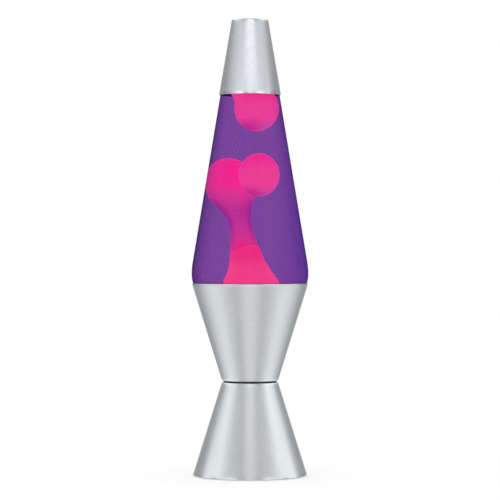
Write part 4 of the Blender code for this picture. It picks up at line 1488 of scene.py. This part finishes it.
    def build_coil(self) -> None:
        """The wire coil on the bottle's floor: a helix closed into a ring."""
        t = np.linspace(0.0, TAU, 12 * self.coil_turns, endpoint=False)
        radial = np.stack([np.cos(t), np.sin(t), 0 * t], axis=-1)
        phase = (self.coil_turns * t)[:, None]
        spoke = np.cos(phase) * radial + np.sin(phase) * np.array([0.0, 0.0, 1.0])
        path = self.coil_r * radial + (0.0, 0.0, self.coil_z) + self.coil_half * spoke
        place = Place(Body.GLOBE, Slot.STEEL, ("wire_coil",))
        coil = wire(path, spoke, self.coil_wire_r, 6, True)
        piece("spring_coil", [coil], place, self.finishes.steel)

    def build(self) -> None:
        """Builds everything inside the bottle."""
        self.build_liquid()
        self.build_standing()
        self.build_mound()
        self.build_pool()
        self.blob("wax_front_blob", self.front_middle, self.front_half, Body.FRONT_BLOB, False)
        self.blob("wax_top_blob", self.top_middle, self.top_half, Body.TOP_BLOB, True)
        self.build_coil()


@dataclass
class Cap:
    """The conical metal cap over the bottle's neck."""

    finishes: Finishes
    wall: float = 0.7
    bottom_z: float = 307.4
    bottom_r: float = 25.1
    top_z: float = 368.3
    slope: float = 0.17
    edge: float = 0.8  # how far from its corner the shoulder's curve begins

    def radius(self, z: float) -> float:
        """Outer radius at a height."""
        return self.bottom_r - self.slope * (z - self.bottom_z)

    def build(self) -> None:
        """The cap: a flat top, a rolled shoulder, a straight flare and a small bright lip."""
        skin = self.wall * math.hypot(1, self.slope)
        inside = self.top_z - self.wall
        section = rounded(
            [
                (0, self.top_z),
                (self.radius(self.top_z) - 0.05, self.top_z, self.edge),
                (self.bottom_r, self.bottom_z, 0.28),
                (self.bottom_r - skin, self.bottom_z, 0.2),
                (self.radius(self.top_z) - skin, inside, self.edge / 2),
                (0, inside),
            ],
            steps=8,
        )
        place = Place(Body.CAP, Slot.CAP_METAL, ("top_cap",))
        paint = ("Wear", rim_wear([(self.bottom_z, 0.6), (self.top_z - 0.2, 0.4)]))
        skins = [turned(resampled(section, METAL_STEP))]
        piece("cone_cap", skins, place, self.finishes.cap, paint=paint)


# ---------------------------------------------------------------- studio


@dataclass(frozen=True)
class SoftBox:
    """An upright light panel, in metres. One that stands beside the lamp runs along Y, and one in
    front of it along X."""

    beside: bool
    away: float  # from the lamp's axis, along X or Y
    start: float
    end: float
    low: float
    high: float
    brightness: float

    def corners(self) -> list[tuple[float, float, float]]:
        """The panel's four corners in order."""
        runs, heights = (self.start, self.end, self.end, self.start), (self.low, self.high)
        outline = zip(runs, np.repeat(heights, 2))
        return [(self.away, run, z) if self.beside else (run, self.away, z) for run, z in outline]


@dataclass
class Studio:
    """A plain pale floor, soft light all round and the camera."""

    distance: float = 1.94  # camera to the lamp's axis, m
    eye: float = 0.1823  # height of the camera, m
    lens: float = 172.8
    sensor: float = 36.0
    band: tuple[float, float] = (14.0, 26.0)  # where the panels at eye level give way, degrees
    top_band: tuple[float, float] = (50.0, 75.0)  # where the ceiling begins, degrees
    ceiling: Colour = (0.62, 0.62, 0.62)
    floor_dark: Colour = (0.6, 0.6, 0.6)
    floor_light: Colour = (0.62, 0.62, 0.62)
    floor_glow: float = 0.42
    floor_half: float = 4.0  # m

    # Brightness of the panels at each of these angles from the front, in degrees
    angles: ClassVar[Sequence[float]] = (0, 9, 20, 32, 46, 60, 76, 92, 108, 128, 156, 180)
    at_horizon: ClassVar[Sequence[float]] = (
        1.23, 0.15, 0.15, 1.81, 1.56, 0.62, 0.42, 0.15, 0.15, 0.32, 0.33, 0.89
    )
    above: ClassVar[Sequence[float]] = (
        0.93, 0.89, 0.15, 0.45, 0.25, 0.76, 0.82, 1.22, 1.42, 1.38, 0.95, 0.62
    )
    below: ClassVar[Sequence[float]] = (
        0.83, 0.92, 0.74, 0.34, 0.54, 0.67, 1.06, 1.08, 1.08, 0.88, 0.9, 0.9
    )
    boxes: ClassVar[Sequence[SoftBox]] = (
        SoftBox(True, -0.55, -0.3, -0.06, 0.17, 0.32, 0.6),
        SoftBox(True, -0.55, -0.06, 0.18, 0.02, 0.17, 0.88),
        SoftBox(True, -0.55, -0.06, 0.18, 0.17, 0.32, 0.16),
        SoftBox(True, 0.55, -0.3, -0.06, 0.02, 0.17, 0.11),
        SoftBox(True, 0.55, -0.3, -0.06, 0.17, 0.32, 0.49),
        SoftBox(True, 0.55, -0.3, -0.06, 0.32, 0.47, 0.51),
        SoftBox(True, 0.55, -0.06, 0.18, 0.02, 0.17, 1.1),
        SoftBox(True, 0.55, -0.06, 0.18, 0.17, 0.32, 0.25),
        SoftBox(False, -0.8, -0.12, 0.12, 0.62, 0.8, 0.45),
        SoftBox(False, -0.8, -0.42, -0.12, 0.62, 0.9, 0.88),
        SoftBox(False, -0.8, 0.12, 0.42, 0.62, 0.9, 0.99),
    )

    def build_floor(self) -> None:
        """A wide pale floor, nearly shadowless."""
        half = self.floor_half
        corners = [(-half, -half, 0), (half, -half, 0), (half, half, 0), (-half, half, 0)]
        mesh = bpy.data.meshes.new("floor")
        mesh.from_pydata(corners, [], [(0, 1, 2, 3)])
        floor = link("floor", mesh)
        net = MaterialNet("pale_floor")
        colour = net.mix(net.noise(60.0), self.floor_dark, self.floor_light)
        net.set(Base_Color=colour, Roughness=0.9, Specular_IOR_Level=0.0)
        net.set(Emission_Color=(1.0, 1.0, 1.0), Emission_Strength=self.floor_glow)
        mesh.materials.append(net.material)
        floor.visible_glossy = False

    def build_light(self) -> None:
        """Soft light from every side: what metal mirrors is a row of broad panels, and all else sees
        plain white. Panels are set by the angle from the front and the height above the horizon."""
        world = bpy.data.worlds.new("studio")
        bpy.context.scene.world = world
        world.use_nodes = True
        net = Net(world.node_tree)
        out = world.node_tree.nodes["World Output"]
        glossy = world.node_tree.nodes["Background"]
        way = net.add("SeparateXYZ")
        net.feed(way.inputs[0], net.add("TexCoord").outputs["Generated"])
        x, y, z = way.outputs
        angle = net.sum("ARCTAN2", net.sum("ABSOLUTE", x), net.sum("MULTIPLY", y, -1.0))
        turn = net.sum("DIVIDE", angle, math.pi)
        lift = net.sum("ARCSINE", z)
        near, far, from_top, to_top = (math.radians(a) for a in self.band + self.top_band)
        colour = self.panels(net, turn, self.at_horizon)
        colour = net.mix(net.span(lift, near, far), colour, self.panels(net, turn, self.above))
        colour = net.mix(net.span(lift, -near, -far), colour, self.panels(net, turn, self.below))
        colour = net.mix(net.span(lift, from_top, to_top), colour, self.ceiling)
        net.feed(glossy.inputs["Color"], colour)
        plain = net.add("Background")
        net.feed(plain.inputs["Color"], (1.0, 1.0, 1.0))
        both = net.mix_shaders(self.mirrored(net), plain.outputs[0], glossy.outputs[0])
        net.feed(out.inputs["Surface"], both)

    def mirrored(self, net: Net) -> Socket:
        """1 for what a surface mirrors and 0 for what is seen straight through the liquid."""
        path = net.add("LightPath").outputs
        straight = net.sum("SUBTRACT", 1.0, path["Is Transmission Ray"])
        return net.sum("MULTIPLY", path["Is Glossy Ray"], straight)

    def panels(self, net: Net, turn: Socket, levels: Sequence[float]) -> Socket:
        """Brightness round the lamp as a row of soft stops."""
        return net.ramp(turn, [(a / 180.0, (v, v, v)) for a, v in zip(self.angles, levels)])

    def build_boxes(self) -> None:
        """Soft boxes near the lamp. They only brighten what metal and glass mirror, and light
        passes through them."""
        corners = np.array([box.corners() for box in self.boxes])
        mesh = bpy.data.meshes.new("soft_boxes")
        faces = np.arange(4 * len(self.boxes)).reshape(-1, 4)
        mesh.from_pydata(corners.reshape(-1, 3).tolist(), [], faces.tolist())
        lamps = link("soft_boxes", mesh)
        levels = np.repeat([box.brightness for box in self.boxes], 4)
        painted(lamps, "Level", lambda points, normals: levels)
        net = MaterialNet("soft_box_light")
        light = net.add("Emission")
        strength = net.sum("MULTIPLY", net.attribute("Level"), self.mirrored(net))
        net.feed(light.inputs["Strength"], strength)
        both = net.add("AddShader")
        net.feed(both.inputs[0], net.add("BsdfTransparent").outputs[0])
        net.feed(both.inputs[1], light.outputs[0])
        mesh.materials.append(net.show(both.outputs[0]))
        lamps.visible_camera = lamps.visible_diffuse = lamps.visible_shadow = False
        lamps.visible_transmission = lamps.visible_volume_scatter = False

    def build_camera(self) -> None:
        """The camera, level, in front of the lamp."""
        data = bpy.data.cameras.new("camera")
        data.lens, data.sensor_width = self.lens, self.sensor
        data.clip_start, data.clip_end = 0.01, 50.0
        camera = bpy.data.objects.new("camera", data)
        bpy.context.scene.collection.objects.link(camera)
        camera.location = (0.0, -self.distance, self.eye)
        camera.rotation_euler = (math.pi / 2, 0.0, 0.0)
        bpy.context.scene.camera = camera

    def build(self) -> None:
        """Sets up the floor, the light, the camera and plain display colours."""
        self.build_floor()
        self.build_light()
        self.build_boxes()
        self.build_camera()
        bpy.context.scene.view_settings.view_transform = "Standard"
        bpy.context.scene.view_settings.look = "None"


def main() -> None:
    """Builds the lamp from the floor up, then the studio."""
    logging.basicConfig(level=logging.INFO, format="%(name)s: %(message)s")
    finishes = Finishes(DyedLiquid())
    Base(finishes).build()
    Lampholder(finishes).build()
    Bulb(finishes).build()
    bottle = Bottle(finishes)
    bottle.build()
    Contents(finishes, bottle).build()
    Cap(finishes).build()
    Studio().build()


if __name__ == "__main__":
    main()
